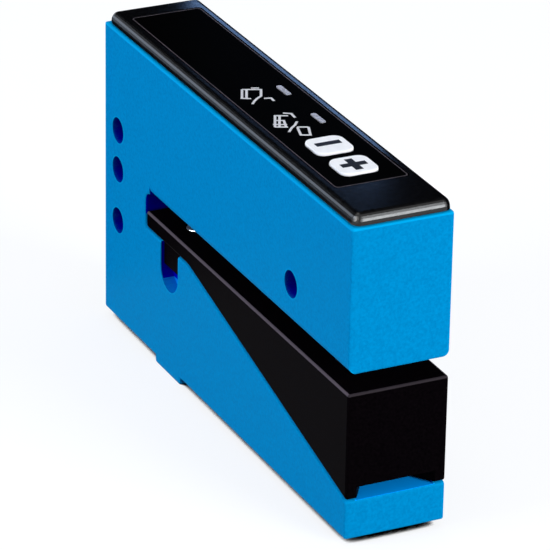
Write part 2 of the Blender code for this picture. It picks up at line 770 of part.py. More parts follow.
def make_pipe(name, x):
    """A clear light pipe: a slim window bar over a wider foot under the cover."""
    lamp_top = KEY_BOARD_TOP + THIN_GAP + LAMP_HEIGHT
    foot_top = COVER_BOTTOM - SEAT_GAP
    centre = (x, PIPE_OFFSET)
    bar = (foot_top - THIN_GAP, LABEL_TOP)
    pipe = tablet(name, centre, (PIPE_LENGTH, PIPE_WIDTH), bar, PIPE_END_RADIUS)
    foot = (PIPE_LENGTH + 2 * PIPE_FLANGE, PIPE_WIDTH + 2 * PIPE_FLANGE)
    join(pipe, tablet("pipe_foot", centre, foot, (lamp_top + LAMP_DISTANCE, foot_top), PIPE_END_RADIUS))
    return pipe


def make_lamp(name, x):
    bottom = KEY_BOARD_TOP + THIN_GAP
    lamp = block(
        name,
        (x - LAMP_LENGTH / 2, x + LAMP_LENGTH / 2),
        (PIPE_OFFSET - LAMP_WIDTH / 2, PIPE_OFFSET + LAMP_WIDTH / 2),
        (bottom, bottom + LAMP_HEIGHT),
    )
    soften(lamp, CASE_EDGE_ROUND, 1)
    return lamp


def make_switch(name, x):
    half = SWITCH_SIZE / 2
    bottom = KEY_BOARD_TOP + THIN_GAP
    middle = bottom + SWITCH_HEIGHT
    switch = block(name, (x - half, x + half), (-half, half), (bottom, middle))
    soften(switch, CASE_EDGE_ROUND, 1)
    join(switch, rod("switch_cap", SWITCH_CAP_DIAMETER / 2, middle - THIN_GAP, SWITCH_TOP, (x, 0, 0)))
    return switch


def make_key_board():
    front = LENGTH - KEY_BOARD_SETBACK
    half = CAVITY_HALF - LEDGE_WIDTH - SEAT_GAP
    return block(
        "key_board",
        (front - KEY_BOARD_LENGTH, front),
        (-half, half),
        (KEY_BOARD_BOTTOM, KEY_BOARD_TOP),
    )


def make_main_board():
    bottom = ARM_CAVITY_FLOOR + SEAT_GAP
    y = (MAIN_BOARD_OFFSET, MAIN_BOARD_OFFSET + BOARD_THICKNESS)
    return block("main_board", (MAIN_BOARD_REAR, MAIN_BOARD_FRONT), y, (bottom, MAIN_BOARD_TOP))


def make_header():
    """The pin strip that joins the two upper boards."""
    middle = LENGTH - HEADER_SETBACK
    near = MAIN_BOARD_OFFSET - SEAT_GAP
    return block(
        "board_header",
        (middle - HEADER_LENGTH / 2, middle + HEADER_LENGTH / 2),
        (near - HEADER_WIDTH, near),
        (MAIN_BOARD_TOP - HEADER_HEIGHT, MAIN_BOARD_TOP),
    )


def chip(name, x, y, z):
    part = block(name, x, y, z)
    soften(part, CASE_EDGE_ROUND, 1)
    return part


def make_controller():
    near = MAIN_BOARD_OFFSET - THIN_GAP
    x = (MAIN_BOARD_REAR + MAIN_BOARD_FRONT) / 2
    z = (ARM_CAVITY_FLOOR + MAIN_BOARD_TOP - HEADER_HEIGHT) / 2
    half = CHIP_SIZE / 2
    return chip("controller_chip", (x - half, x + half), (near - CHIP_HEIGHT, near), (z - half, z + half))


def make_amplifier():
    far = MAIN_BOARD_OFFSET + BOARD_THICKNESS + THIN_GAP
    x = MAIN_BOARD_FRONT - AMPLIFIER_LENGTH
    z = (ARM_CAVITY_FLOOR + MAIN_BOARD_TOP) / 2
    x_span = (x - AMPLIFIER_LENGTH / 2, x + AMPLIFIER_LENGTH / 2)
    z_span = (z - AMPLIFIER_WIDTH / 2, z + AMPLIFIER_WIDTH / 2)
    return chip("amplifier_chip", x_span, (far, far + CHIP_HEIGHT), z_span)


def make_capacitor():
    radius = CAPACITOR_DIAMETER / 2
    y = MAIN_BOARD_OFFSET - THIN_GAP - radius
    x = MAIN_BOARD_REAR + CAPACITOR_LENGTH
    half = CAPACITOR_LENGTH / 2
    z = MAIN_BOARD_TOP - CAPACITOR_DROP - half
    crimp_top = half - CRIMP_SETBACK
    profile = [
        (0, -half),
        (radius, -half),
        (radius, crimp_top - CRIMP_HEIGHT),
        (radius - CRIMP_DEPTH, crimp_top - CRIMP_HEIGHT / 2),
        (radius, crimp_top),
        (radius, half),
        (0, half),
    ]
    return turned("smoothing_capacitor", profile, (x, y, z))


def make_transducer(name, face, way):
    """A metal can with a rounded rim; its face looks across the fork."""
    radius = TRANSDUCER_DIAMETER / 2
    front = face + way * TRANSDUCER_RECESS
    back = front + way * TRANSDUCER_LENGTH
    rim = THIN_GAP
    profile = [
        (0, front),
        (radius - rim, front),
        (radius, front + way * rim),
        (radius, back - way * rim),
        (radius - rim, back),
        (0, back),
    ]
    return turned(name, profile, (TRANSDUCER_X, 0, 0), "z", BORE_STEPS)


def make_seal(name, face, way):
    """The soft ring that keeps the housing's noise off a transducer."""
    inner = TRANSDUCER_DIAMETER / 2 + SEAT_GAP
    outer = inner + SEAL_THICKNESS
    start = face + way * SEAL_SUNK
    end = start + way * SEAL_LENGTH
    profile = [(inner, start), (outer, start), (outer, end), (inner, end)]
    return turned(name, profile, (TRANSDUCER_X, 0, 0), "z", BORE_STEPS)


def insert_blade():
    """The part of the lower arm that stands over the side walls, as wide as the housing."""
    rear = SPINE_DEPTH + INSERT_REAR_GAP
    outline = round_corners([
        (rear, SHOULDER_HEIGHT + SEAT_GAP, 0),
        (RAMP_START, SHOULDER_HEIGHT + SEAT_GAP, RAMP_BLEND_RADIUS),
        (LENGTH, LIP_HEIGHT + SEAT_GAP, 0),
        (LENGTH, LOWER_ARM_TOP, 0),
        (rear, LOWER_ARM_TOP, 0),
    ])
    blade = prism("lower_arm", outline, -HALF_WIDTH, HALF_WIDTH)
    soften(blade, EDGE_ROUND)
    return blade


def insert_core():
    """The part of the lower arm that stands between the side walls and on the shelf."""
    rear = TROUGH_REAR + SEAT_GAP
    front = SHELF_REAR - SEAT_GAP
    outline = [
        (rear, CORE_BOTTOM),
        (RAMP_START, CORE_BOTTOM),
        (front, ramp_height(front) - CORE_DROP),
        (front, LIP_HEIGHT + SEAT_GAP),
        (LENGTH - EDGE_ROUND, LIP_HEIGHT + SEAT_GAP),
        (LENGTH - EDGE_ROUND, LOWER_ARM_TOP - INSERT_ROOF / 2),
        (rear, LOWER_ARM_TOP - INSERT_ROOF / 2),
    ]
    half = CAVITY_HALF - SEAT_GAP
    return prism("insert_core", outline, -half, half)


def insert_tabs():
    """The latch that fills the top of both windows."""
    half = HALF_WIDTH - TAB_RECESS
    return block(
        "insert_tabs",
        (WINDOW_REAR + SEAT_GAP, WINDOW_REAR + WINDOW_WIDTH - SEAT_GAP),
        (-half, half),
        (SHOULDER_HEIGHT - TAB_DROP, SHOULDER_HEIGHT + 2 * SEAT_GAP),
    )


def insert_notch():
    """The low opening at the front, which narrows as it goes back over the shelf."""
    wide = HALF_WIDTH - NOTCH_LEG
    narrow = wide - NOTCH_TAPER
    waist = LENGTH - NOTCH_TAPER_DEPTH
    rear = SHELF_REAR - SEAT_GAP
    points = [
        (LENGTH + OVERSHOOT, -wide),
        (LENGTH + OVERSHOOT, wide),
        (LENGTH, wide),
        (waist, narrow),
        (rear, narrow),
        (rear, -narrow),
        (waist, -narrow),
        (LENGTH, -wide),
    ]
    return prism("insert_notch", points, LIP_HEIGHT - OVERSHOOT, LIP_HEIGHT + NOTCH_HEIGHT, "z")


def insert_hollow():
    """The open underside of the moulding, where the lower board hangs."""
    roof = LOWER_ARM_TOP - INSERT_ROOF
    x = (HOLLOW_REAR, HOLLOW_FRONT)
    return block("insert_hollow", x, (-HOLLOW_HALF, HOLLOW_HALF), (-OVERSHOOT, roof))


def wire_slot():
    """The way of the wire from the hollow to the back of the transducer."""
    half = WIRE_DIAMETER / 2 + SEAT_GAP
    x = (HOLLOW_FRONT - OVERSHOOT, TRANSDUCER_X)
    return block("wire_slot", x, (-half, half), (WIRE_WAY_BOTTOM, TRANSMITTER_BACK))


def screw_hole(side):
    """A screw's clearance hole and the cone for its head."""
    radius = SCREW_DIAMETER / 2 + SEAT_GAP
    head = SCREW_HEAD_DIAMETER / 2 + SEAT_GAP
    cone_top = LOWER_ARM_TOP - SCREW_SUNK
    profile = [
        (0, CORE_BOTTOM - OVERSHOOT),
        (radius, CORE_BOTTOM - OVERSHOOT),
        (radius, cone_top - SCREW_HEAD_HEIGHT - SEAT_GAP),
        (head, cone_top - SEAT_GAP),
        (head, LOWER_ARM_TOP + OVERSHOOT),
        (0, LOWER_ARM_TOP + OVERSHOOT),
    ]
    return turned("screw_hole", profile, (SCREW_X, side * SCREW_OFFSET, 0))


def make_lower_arm():
    arm = insert_blade()
    join(arm, insert_core(), insert_tabs())
    cut(arm, insert_notch(), insert_hollow(), transducer_well(LOWER_ARM_TOP, WIRE_WAY_BOTTOM, -1))
    cut(arm, wire_slot(), screw_hole(-1), screw_hole(1))
    return arm


def make_screw(name, side):
    """A countersunk screw with a raised head and a cross recess."""
    top = LOWER_ARM_TOP - SCREW_SUNK
    radius = SCREW_DIAMETER / 2
    tip = top - SCREW_LENGTH
    profile = [(0, tip), (radius, tip + radius), (radius, top - SCREW_HEAD_HEIGHT)]
    for step in range(ARC_STEPS):
        angle = math.pi / 2 * step / ARC_STEPS
        profile.append((SCREW_HEAD_DIAMETER / 2 * math.cos(angle), top + SCREW_CROWN * math.sin(angle)))
    profile.append((0, top + SCREW_CROWN))
    y = side * SCREW_OFFSET
    screw = turned(name, profile, (SCREW_X, y, 0))
    arm = RECESS_LENGTH / 2
    thin = RECESS_WIDTH / 2
    depth = (top - SCREW_HEAD_HEIGHT / 2, top + OVERSHOOT)
    cut(screw, block("recess", (SCREW_X - arm, SCREW_X + arm), (y - thin, y + thin), depth))
    cut(screw, block("recess", (SCREW_X - thin, SCREW_X + thin), (y - arm, y + arm), depth))
    return screw


def make_lower_board():
    half = HOLLOW_HALF - SEAT_GAP
    x = (LOWER_BOARD_REAR, LOWER_BOARD_FRONT)
    return block("lower_board", x, (-half, half), (LOWER_BOARD_BOTTOM, LOWER_BOARD_TOP))


def make_driver():
    x = (LOWER_BOARD_REAR + LOWER_BOARD_FRONT) / 2
    top = LOWER_BOARD_BOTTOM - THIN_GAP
    x_span = (x - AMPLIFIER_LENGTH / 2, x + AMPLIFIER_LENGTH / 2)
    y_span = (-AMPLIFIER_WIDTH / 2, AMPLIFIER_WIDTH / 2)
    return chip("driver_chip", x_span, y_span, (top - CHIP_HEIGHT, top))


def make_lead():
    """The flat lead from the main board down the spine to the lower board."""
    upper_z = ARM_CAVITY_FLOOR + 2 * ARM_FLOOR
    lower_z = PASSAGE_BOTTOM + PASSAGE_HEIGHT / 2
    end_z = LOWER_BOARD_BOTTOM - SEAT_GAP - LEAD_THICKNESS / 2
    bend = CHANNEL_DEPTH / 2 + SEAT_GAP
    rise_start = WINDOW_REAR + WINDOW_WIDTH
    path = round_corners([
        (MAIN_BOARD_REAR + 2 * CHANNEL_DEPTH, upper_z, 0),
        (LEAD_X, upper_z, bend),
        (LEAD_X, lower_z, bend),
        (rise_start, lower_z, 2 * bend),
        (LOWER_BOARD_REAR + CHANNEL_DEPTH, end_z, 2 * bend),
        (LOWER_BOARD_REAR + 3 * CHANNEL_DEPTH, end_z, 0),
    ])
    half = LEAD_THICKNESS / 2
    over = []
    under = []
    for index, point in enumerate(path):
        ahead = path[min(index + 1, len(path) - 1)]
        behind = path[max(index - 1, 0)]
        along = (ahead - behind).normalized()
        across = Vector((-along.y, along.x)) * half
        over.append(point + across)
        under.append(point - across)
    return prism("flat_lead", over + under[::-1], -LEAD_WIDTH / 2, LEAD_WIDTH / 2)


def wire(name, corners, y):
    """A round wire along rounded corners in the plane at y."""
    radius = WIRE_DIAMETER / 2
    path = round_corners(corners)
    curve = bpy.data.curves.new(name, "CURVE")
    curve.dimensions = "3D"
    curve.bevel_depth = radius
    curve.bevel_resolution = 2
    curve.use_fill_caps = True
    line = curve.splines.new("POLY")
    line.points.add(len(path) - 1)
    for place, point in zip(line.points, path):
        place.co = (point.x, y, point.y, 1)
    guide = bpy.data.objects.new(name + "_path", curve)
    bpy.context.collection.objects.link(guide)
    seen = guide.evaluated_get(bpy.context.evaluated_depsgraph_get())
    shape = bmesh.new()
    shape.from_mesh(bpy.data.meshes.new_from_object(seen))
    bmesh.ops.remove_doubles(shape, verts=shape.verts, dist=WIRE_DIAMETER / 1000)
    bpy.data.objects.remove(guide, do_unlink=True)
    return object_from(shape, name)


def make_receiver_wire():
    radius = WIRE_DIAMETER / 2
    back = UPPER_ARM_BOTTOM + TRANSDUCER_RECESS + TRANSDUCER_LENGTH + SEAT_GAP
    run = BLOCK_TOP + SEAT_GAP + radius
    y = MAIN_BOARD_OFFSET - SEAT_GAP - radius
    end = MAIN_BOARD_FRONT - 3 * WIRE_DIAMETER
    return wire("receiver_wire", [(TRANSDUCER_X, back, 0), (TRANSDUCER_X, run, 2 * radius), (end, run, 0)], y)


def make_transmitter_wire():
    radius = WIRE_DIAMETER / 2
    back = TRANSMITTER_BACK - SEAT_GAP
    run = back - 2 * WIRE_DIAMETER
    turn_x = LOWER_BOARD_FRONT - 2 * WIRE_DIAMETER
    end = LOWER_BOARD_BOTTOM - SEAT_GAP
    corners = [
        (TRANSDUCER_X, back, 0),
        (TRANSDUCER_X, run, 2 * radius),
        (turn_x, run, 2 * radius),
        (turn_x, end, 0),
    ]
    return wire("transmitter_wire", corners, 0)


def make_inlet_shell():
    """The threaded sleeve that the plug screws onto, with its flange and neck."""
    thread = INLET_THREAD_DIAMETER / 2
    hollow = thread - INLET_WALL
    flange = INLET_FLANGE_DIAMETER / 2
    flange_front = INLET_SPOT_DEPTH - SEAT_GAP
    flange_rear = flange_front - INLET_FLANGE_HEIGHT
    lead_in = INLET_NECK_WALL / 2
    profile = [
        (hollow, -INLET_REACH),
        (thread - lead_in, -INLET_REACH),
        (thread, -INLET_REACH + lead_in),
        (thread, flange_rear),
        (flange, flange_rear),
        (flange, flange_front),
        (NECK_RADIUS, flange_front),
        (NECK_RADIUS, REAR_WALL),
        (hollow, REAR_WALL),
    ]
    return turned("inlet_shell", profile, (0, 0, INLET_Z), "x", BORE_STEPS)


def make_inlet_seal():
    section = INLET_SEAL_SECTION / 2
    ring = INLET_BORE_RADIUS + section
    middle = SEAL_GROOVE_FLOOR - SEAT_GAP - section
    profile = []
    for step in range(SECTION_STEPS):
        angle = 2 * math.pi * step / SECTION_STEPS
        profile.append((ring + section * math.cos(angle), middle + section * math.sin(angle)))
    return turned("inlet_seal", profile, (0, 0, INLET_Z), "x", BORE_STEPS)


def contact_places():
    radius = CONTACT_CIRCLE_DIAMETER / 2
    for step in range(4):
        angle = math.pi / 4 + step * math.pi / 2
        yield radius * math.cos(angle), INLET_Z + radius * math.sin(angle)


def make_carrier():
    """The plastic disc that holds the contacts, with its coding groove on top."""
    radius = INLET_THREAD_DIAMETER / 2 - INLET_WALL - SEAT_GAP
    rear = -INLET_REACH + CARRIER_RECESS
    front = REAR_WALL - CARRIER_INNER_GAP
    carrier = rod("contact_carrier", radius, rear, front, (0, 0, INLET_Z), "x", BORE_STEPS)
    hole = CONTACT_DIAMETER / 2 + THIN_GAP
    for y, z in contact_places():
        cut(carrier, rod("contact_hole", hole, rear - OVERSHOOT, front + OVERSHOOT, (0, y, z), "x"))
    half = CONTACT_DIAMETER / 2
    cut(carrier, block(
        "coding_groove",
        (rear - OVERSHOOT, rear + INLET_FLANGE_HEIGHT),
        (-half, half),
        (INLET_Z + radius - CODING_GROOVE_DEPTH, INLET_Z + radius + OVERSHOOT),
    ))
    return carrier


def make_contact(name, y, z):
    radius = CONTACT_DIAMETER / 2
    rear = -INLET_REACH + CONTACT_RECESS
    profile = [
        (0, rear),
        (CONTACT_TIP_DIAMETER / 2, rear),
        (radius, rear + radius),
        (radius, CONTACT_END),
        (0, CONTACT_END),
    ]
    return turned(name, profile, (0, y, z), "x")


def build():
    clear_scene()
    origin = bpy.data.objects.new("sensor_origin", None)
    bpy.context.collection.objects.link(origin)
    origin.location = (-(LENGTH - INLET_REACH) / 2, 0, LUG_DROP)

    blue_paint = make_finish("blue_paint", (0.0, 0.205, 0.578), 0.45)
    black_plastic = make_finish("black_plastic", (0.012, 0.011, 0.012), 0.35)
    black_rubber = make_finish("black_rubber", (0.02, 0.02, 0.02), 0.8)
    label_film = make_finish("label_film", (0.01, 0.01, 0.011), 0.4)
    white_key = make_finish("white_key", (0.9, 0.9, 0.9), 0.4)
    clear_pipe = make_finish("clear_pipe", (0.55, 0.55, 0.55), 0.2)
    green_board = make_finish("green_board", (0.02, 0.16, 0.06), 0.5)
    chip_black = make_finish("chip_black", (0.03, 0.03, 0.032), 0.55)
    lamp_cream = make_finish("lamp_cream", (0.8, 0.75, 0.5), 0.4)
    tin = make_finish("tin_can", (0.62, 0.63, 0.65), 0.35, 1.0)
    steel = make_finish("plated_steel", (0.7, 0.7, 0.7), 0.25, 1.0)
    nickel = make_finish("nickel_plate", (0.66, 0.62, 0.55), 0.25, 1.0)
    gold = make_finish("gold_contact", (0.9, 0.65, 0.25), 0.25, 1.0)
    amber_film = make_finish("amber_film", (0.55, 0.22, 0.03), 0.4)
    red_wire = make_finish("wire_red", (0.5, 0.03, 0.02), 0.5)

    complete(make_housing(), blue_paint, origin)
    complete(make_cover(), black_plastic, origin)
    complete(make_gasket(), black_rubber, origin)
    complete(make_label(), label_film, origin)
    complete(make_key("key_minus", KEY_MINUS_X), white_key, origin)
    complete(make_key("key_plus", KEY_PLUS_X), white_key, origin)
    for place, x in (("rear", PIPE_REAR_X), ("front", PIPE_FRONT_X)):
        complete(make_pipe("light_pipe_" + place, x), clear_pipe, origin)
        complete(make_lamp("lamp_" + place, x), lamp_cream, origin)
    complete(make_switch("switch_minus", KEY_MINUS_X), chip_black, origin)
    complete(make_switch("switch_plus", KEY_PLUS_X), chip_black, origin)
    complete(make_key_board(), green_board, origin)
    complete(make_main_board(), green_board, origin)
    complete(make_header(), chip_black, origin)
    complete(make_controller(), chip_black, origin)
    complete(make_amplifier(), chip_black, origin)
    complete(make_capacitor(), tin, origin)
    complete(make_transducer("receiver", UPPER_ARM_BOTTOM, 1), tin, origin)
    complete(make_seal("receiver_seal", UPPER_ARM_BOTTOM, 1), black_rubber, origin)
    complete(make_receiver_wire(), red_wire, origin)
    complete(make_lower_arm(), black_plastic, origin)
    complete(make_screw("arm_screw_near", -1), steel, origin)
    complete(make_screw("arm_screw_far", 1), steel, origin)
    complete(make_transducer("transmitter", LOWER_ARM_TOP, -1), tin, origin)
    complete(make_seal("transmitter_seal", LOWER_ARM_TOP, -1), black_rubber, origin)
    complete(make_transmitter_wire(), red_wire, origin)
    complete(make_lower_board(), green_board, origin)
    complete(make_driver(), chip_black, origin)
    complete(make_lead(), amber_film, origin)
    complete(make_inlet_shell(), nickel, origin)
    complete(make_inlet_seal(), black_rubber, origin)
    complete(make_carrier(), black_plastic, origin)
    for number, (y, z) in enumerate(contact_places(), 1):
        complete(make_contact("contact_%d" % number, y, z), gold, origin)


build()
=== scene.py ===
"""Looks of the fork sensor for label gaps, put together in the order in which it is assembled:
housing, transducers, boards and leads, lower arm, plug inlet, cover, label and keys. The
studio comes last. Lengths are in metres, or in mm where a name ends in _MM, in the frame of
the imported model."""
import math

import bmesh
import bpy
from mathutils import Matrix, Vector


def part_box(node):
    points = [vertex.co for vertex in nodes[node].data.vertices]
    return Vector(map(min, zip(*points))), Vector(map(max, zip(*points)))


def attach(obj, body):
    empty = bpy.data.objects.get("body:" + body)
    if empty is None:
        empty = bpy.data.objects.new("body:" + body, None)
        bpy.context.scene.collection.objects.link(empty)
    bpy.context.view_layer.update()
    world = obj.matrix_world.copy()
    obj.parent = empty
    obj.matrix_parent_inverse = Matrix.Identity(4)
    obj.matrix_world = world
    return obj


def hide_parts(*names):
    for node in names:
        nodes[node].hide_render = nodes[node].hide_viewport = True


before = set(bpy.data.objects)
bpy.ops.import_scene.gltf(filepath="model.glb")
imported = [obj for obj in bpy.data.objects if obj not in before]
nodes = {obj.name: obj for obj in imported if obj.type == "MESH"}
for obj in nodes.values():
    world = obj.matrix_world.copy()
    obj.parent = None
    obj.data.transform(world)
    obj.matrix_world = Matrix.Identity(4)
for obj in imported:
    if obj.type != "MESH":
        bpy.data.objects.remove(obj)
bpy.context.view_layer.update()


# ---- Housing -------------------------------------------------------------------------------
# A zinc die casting in one piece, blasted and then stoved with a satin blue paint. The paint
# lies smooth, with a faint orange peel; a painted highlight of lighter blue runs over the rounded
# edges.

MM = 0.001


def linear(code):
    """An sRGB hex colour as the linear colour that a shader takes."""
    levels = [int(code[start:start + 2], 16) / 255 for start in (1, 3, 5)]
    return [v / 12.92 if v <= 0.04045 else ((v + 0.055) / 1.055) ** 2.4 for v in levels] + [1.0]


def scale_of(size_mm):
    """The scale at which a pattern that reads metres has features of this size."""
    return 1000.0 / size_mm


def add(tree, kind, settings=None, links=None):
    """Add a node with its settings, which are properties or sockets, and its links."""
    node = tree.nodes.new(kind)
    for name, value in (settings or {}).items():
        if isinstance(name, str) and hasattr(node, name):
            setattr(node, name, value)
        else:
            node.inputs[name].default_value = value
    for name, source in (links or {}).items():
        tree.links.new(source, node.inputs[name])
    return node


def surface_of(name, sockets):
    """A new material with its tree, its shader and the object's own coordinates."""
    material = bpy.data.materials.new(name)
    material.use_nodes = True
    tree = material.node_tree
    shader = tree.nodes["Principled BSDF"]
    for socket, value in sockets.items():
        shader.inputs[socket].default_value = value
    return material, tree, shader, add(tree, "ShaderNodeTexCoord").outputs["Object"]


# The two figures between which a pattern mostly keeps.
PATTERN_LOW = 0.3
PATTERN_HIGH = 0.7


def finish(tree, shader, pattern, colours, roughness, relief_mm=0.0):
    """Let one pattern blend two hex colours and set the roughness and the relief with it."""
    spread = add(tree, "ShaderNodeMapRange", {
        "From Min": PATTERN_LOW, "From Max": PATTERN_HIGH,
    }, {"Value": pattern})
    blend = add(tree, "ShaderNodeMix", {"data_type": "RGBA"}, {"Factor": spread.outputs[0]})
    blend.inputs["A"].default_value = linear(colours[0])
    blend.inputs["B"].default_value = linear(colours[1])
    tree.links.new(blend.outputs["Result"], shader.inputs["Base Color"])
    gloss = add(tree, "ShaderNodeMapRange", {
        "From Min": PATTERN_LOW, "From Max": PATTERN_HIGH,
        "To Min": roughness[0], "To Max": roughness[1],
    }, {"Value": pattern})
    tree.links.new(gloss.outputs[0], shader.inputs["Roughness"])
    if relief_mm:
        raised = add(tree, "ShaderNodeBump", {"Distance": relief_mm * MM}, {"Height": pattern})
        tree.links.new(raised.outputs["Normal"], shader.inputs["Normal"])


def overlay(tree, shader, code, share):
    """Blend what the shader shows towards one more hex colour, by this share."""
    below = shader.inputs["Base Color"].links[0].from_socket
    blend = add(tree, "ShaderNodeMix", {"data_type": "RGBA"}, {"Factor": share, "A": below})
    blend.inputs["B"].default_value = linear(code)
    tree.links.new(blend.outputs["Result"], shader.inputs["Base Color"])


def dress(material, *names):
    """Give CAD nodes this material."""
    for name in names:
        mesh = nodes[name].data
        mesh.materials.clear()
        mesh.materials.append(material)


# Stoved paint on a blasted casting: satin, so that it shows its own blue and only a soft light.
# A painted highlight of lighter blue runs over the rounded edges and along the rim under the
# cover. Painted shade makes it a deep blue in the bores, the windows and the fork's root, where
# the light hardly comes, and painted light makes it a clearer blue on the windows' sills and on
# the ledge in the front notch. Each region below is given by its middle and its reach to either
# side, along each axis.
PEEL_MM = 0.45
EDGE_REACH_MM = 0.4
EDGE_STARTS = 0.9
EDGE_FULL = 0.5
EDGE_MOST = 0.6
BORE_REACH_MM = 5.0
BORE_STARTS = 0.85
BORE_FULL = 0.5
RIM_HIGHLIGHT_MM = 0.4
SHEEN_BLUE = "#3FA8FF"
EDGE_HIGHLIGHT_BLUE = "#00A4DE"
RIM_HIGHLIGHT_BLUE = "#0099D0"
PAINTED_SHADE_BLUE = "#0000A0"
SILL_PAINTED_LIGHT_BLUE = "#0078CC"
LEDGE_PAINTED_LIGHT_BLUE = "#00A0FF"
FORK_ROOT_MM = (("X", -23.3, 2.8), ("Y", 0.0, 7.85), ("Z", 25.7, 2.2))
WINDOWS_MM = (("X", -14.05, 3.3), ("Y", 0.0, 7.85), ("Z", 17.7, 3.6))
WINDOW_SILLS_MM = (("X", -14.05, 3.3), ("Y", 0.0, 7.85), ("Z", 14.7, 0.65))
NOTCH_LEDGE_MM = (("X", 44.8, 2.6), ("Y", 0.0, 6.4), ("Z", 7.2, 0.05))
blue_paint, tree, shader, place = surface_of("stoved_blue_paint", {
    "Specular IOR Level": 0.006, "Specular Tint": linear(SHEEN_BLUE),
})
peel = add(tree, "ShaderNodeTexNoise", {
    "Scale": scale_of(PEEL_MM), "Detail": 3.0,
}, {"Vector": place})
finish(tree, shader, peel.outputs["Fac"], ("#007AB1", "#0088C0"), (0.42, 0.52), 0.008)
# Painted highlight: a lighter blue wherever the surface rounds over an edge.
rounding = add(tree, "ShaderNodeAmbientOcclusion", {
    "inside": True, "only_local": True, "samples": 6, "Distance": EDGE_REACH_MM * MM,
})
edge_highlight_share = add(tree, "ShaderNodeMapRange", {
    "From Min": EDGE_STARTS, "From Max": EDGE_FULL, "To Max": EDGE_MOST,
}, {"Value": rounding.outputs["AO"]})
overlay(tree, shader, EDGE_HIGHLIGHT_BLUE, edge_highlight_share.outputs[0])
# Painted shade: a deep blue wherever the casting closes round a point, as in the bores.
depth = add(tree, "ShaderNodeAmbientOcclusion", {
    "only_local": True, "samples": 8, "Distance": BORE_REACH_MM * MM,
})
painted_shade_share = add(tree, "ShaderNodeMapRange", {
    "From Min": BORE_STARTS, "From Max": BORE_FULL,
}, {"Value": depth.outputs["AO"]})
overlay(tree, shader, PAINTED_SHADE_BLUE, painted_shade_share.outputs[0])
spot = add(tree, "ShaderNodeSeparateXYZ", {}, {0: place}).outputs
# Painted shade in the fork's root and the windows, and painted light on the windows' sills and the
# notch's ledge.
for region, code in (
    (FORK_ROOT_MM, PAINTED_SHADE_BLUE),
    (WINDOWS_MM, PAINTED_SHADE_BLUE),
    (WINDOW_SILLS_MM, SILL_PAINTED_LIGHT_BLUE),
    (NOTCH_LEDGE_MM, LEDGE_PAINTED_LIGHT_BLUE),
):
    inside = None
    for axis, middle, reach in region:
        within = add(tree, "ShaderNodeMath", {
            "operation": "COMPARE", 1: middle * MM, 2: reach * MM,
        }, {0: spot[axis]}).outputs[0]
        inside = within if inside is None else add(tree, "ShaderNodeMath", {
            "operation": "MINIMUM",
        }, {0: inside, 1: within}).outputs[0]
    overlay(tree, shader, code, inside)
# Painted highlight: a band of lighter blue along the top rim, just under the cover.
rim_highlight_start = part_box("housing")[1].z - RIM_HIGHLIGHT_MM * MM
rim_highlight = add(tree, "ShaderNodeMath", {
    "operation": "GREATER_THAN", 1: rim_highlight_start,
}, {0: spot["Z"]})
overlay(tree, shader, RIM_HIGHLIGHT_BLUE, rim_highlight.outputs[0])
dress(blue_paint, "housing")


# ---- Transducers and their seals -----------------------------------------------------------
# Two drawn cans of tinned steel that face each other across the fork, one in each arm. Each
# is pressed into a well, with a soft ring round it that keeps the arm's own noise off it.

# A wave pattern runs through this many radians over one unit of its own coordinates.
WAVE_RADIANS = 20


def wave_scale_of(size_mm):
    """The scale at which a wave pattern that reads metres repeats after this size."""
    return scale_of(size_mm) * math.tau / WAVE_RADIANS


# Tin on drawn steel: bright, with the fine rings that drawing leaves round the can. They are
# set wider apart than real ones, so that they show.
DRAW_RING_MM = 0.3
tin_can, tree, shader, place = surface_of("tinned_drawn_steel", {"Metallic": 1.0})
rings = add(tree, "ShaderNodeTexWave", {
    "bands_direction": "Z", "Scale": wave_scale_of(DRAW_RING_MM),
    "Distortion": 1.5, "Detail": 1.0,
}, {"Vector": place})
finish(tree, shader, rings.outputs["Fac"], ("#B9BCC2", "#CDD0D4"), (0.28, 0.4))
dress(tin_can, "receiver", "transmitter", "smoothing_capacitor")

# Nitrile rubber from a mould: matt black with a dusting of talc, set coarser than real talc.
TALC_MM = 0.35
rubber, tree, shader, place = surface_of("black_nitrile_rubber", {"Specular IOR Level": 0.2})
talc = add(tree, "ShaderNodeTexNoise", {
    "Scale": scale_of(TALC_MM), "Detail": 4.0,
}, {"Vector": place})
finish(tree, shader, talc.outputs["Fac"], ("#121212", "#201F1E"), (0.75, 0.9), 0.012)
dress(rubber, "receiver_seal", "transmitter_seal", "inlet_seal", "cover_gasket")


# ---- Boards and what is soldered to them ---------------------------------------------------
# Glass-epoxy boards under green solder mask, one under the keys, one on edge in the upper arm
# and one in the lower arm, with moulded chips, a pin header, lamps and switches on them.

# Solder mask over copper tracks: glossy green, lighter where copper lies under it.
TRACK_MM = 1.3
board_mask, tree, shader, place = surface_of("green_solder_mask", {})
tracks = add(tree, "ShaderNodeTexBrick", {
    "Scale": scale_of(2 * TRACK_MM), "Mortar Size": 0.06, "Brick Width": 1.6, "Row Height": 0.5,
}, {"Vector": place})
finish(tree, shader, tracks.outputs["Fac"], ("#0C5A2E", "#1B7A40"), (0.3, 0.38), 0.03)
dress(board_mask, "key_board", "main_board", "lower_board")

# Epoxy moulding compound: dull black, faintly speckled with its filler, whose grains are set
# coarser than real ones, so that they show.
SPECKLE_MM = 0.2
chip_black, tree, shader, place = surface_of("black_epoxy_compound", {"Specular IOR Level": 0.35})
speckle = add(tree, "ShaderNodeTexNoise", {
    "Scale": scale_of(SPECKLE_MM), "Detail": 3.0,
}, {"Vector": place})
finish(tree, shader, speckle.outputs["Fac"], ("#1B1B1D", "#29292B"), (0.5, 0.62), 0.004)
dress(chip_black, "controller_chip", "amplifier_chip", "driver_chip", "board_header")
dress(chip_black, "switch_minus", "switch_plus")

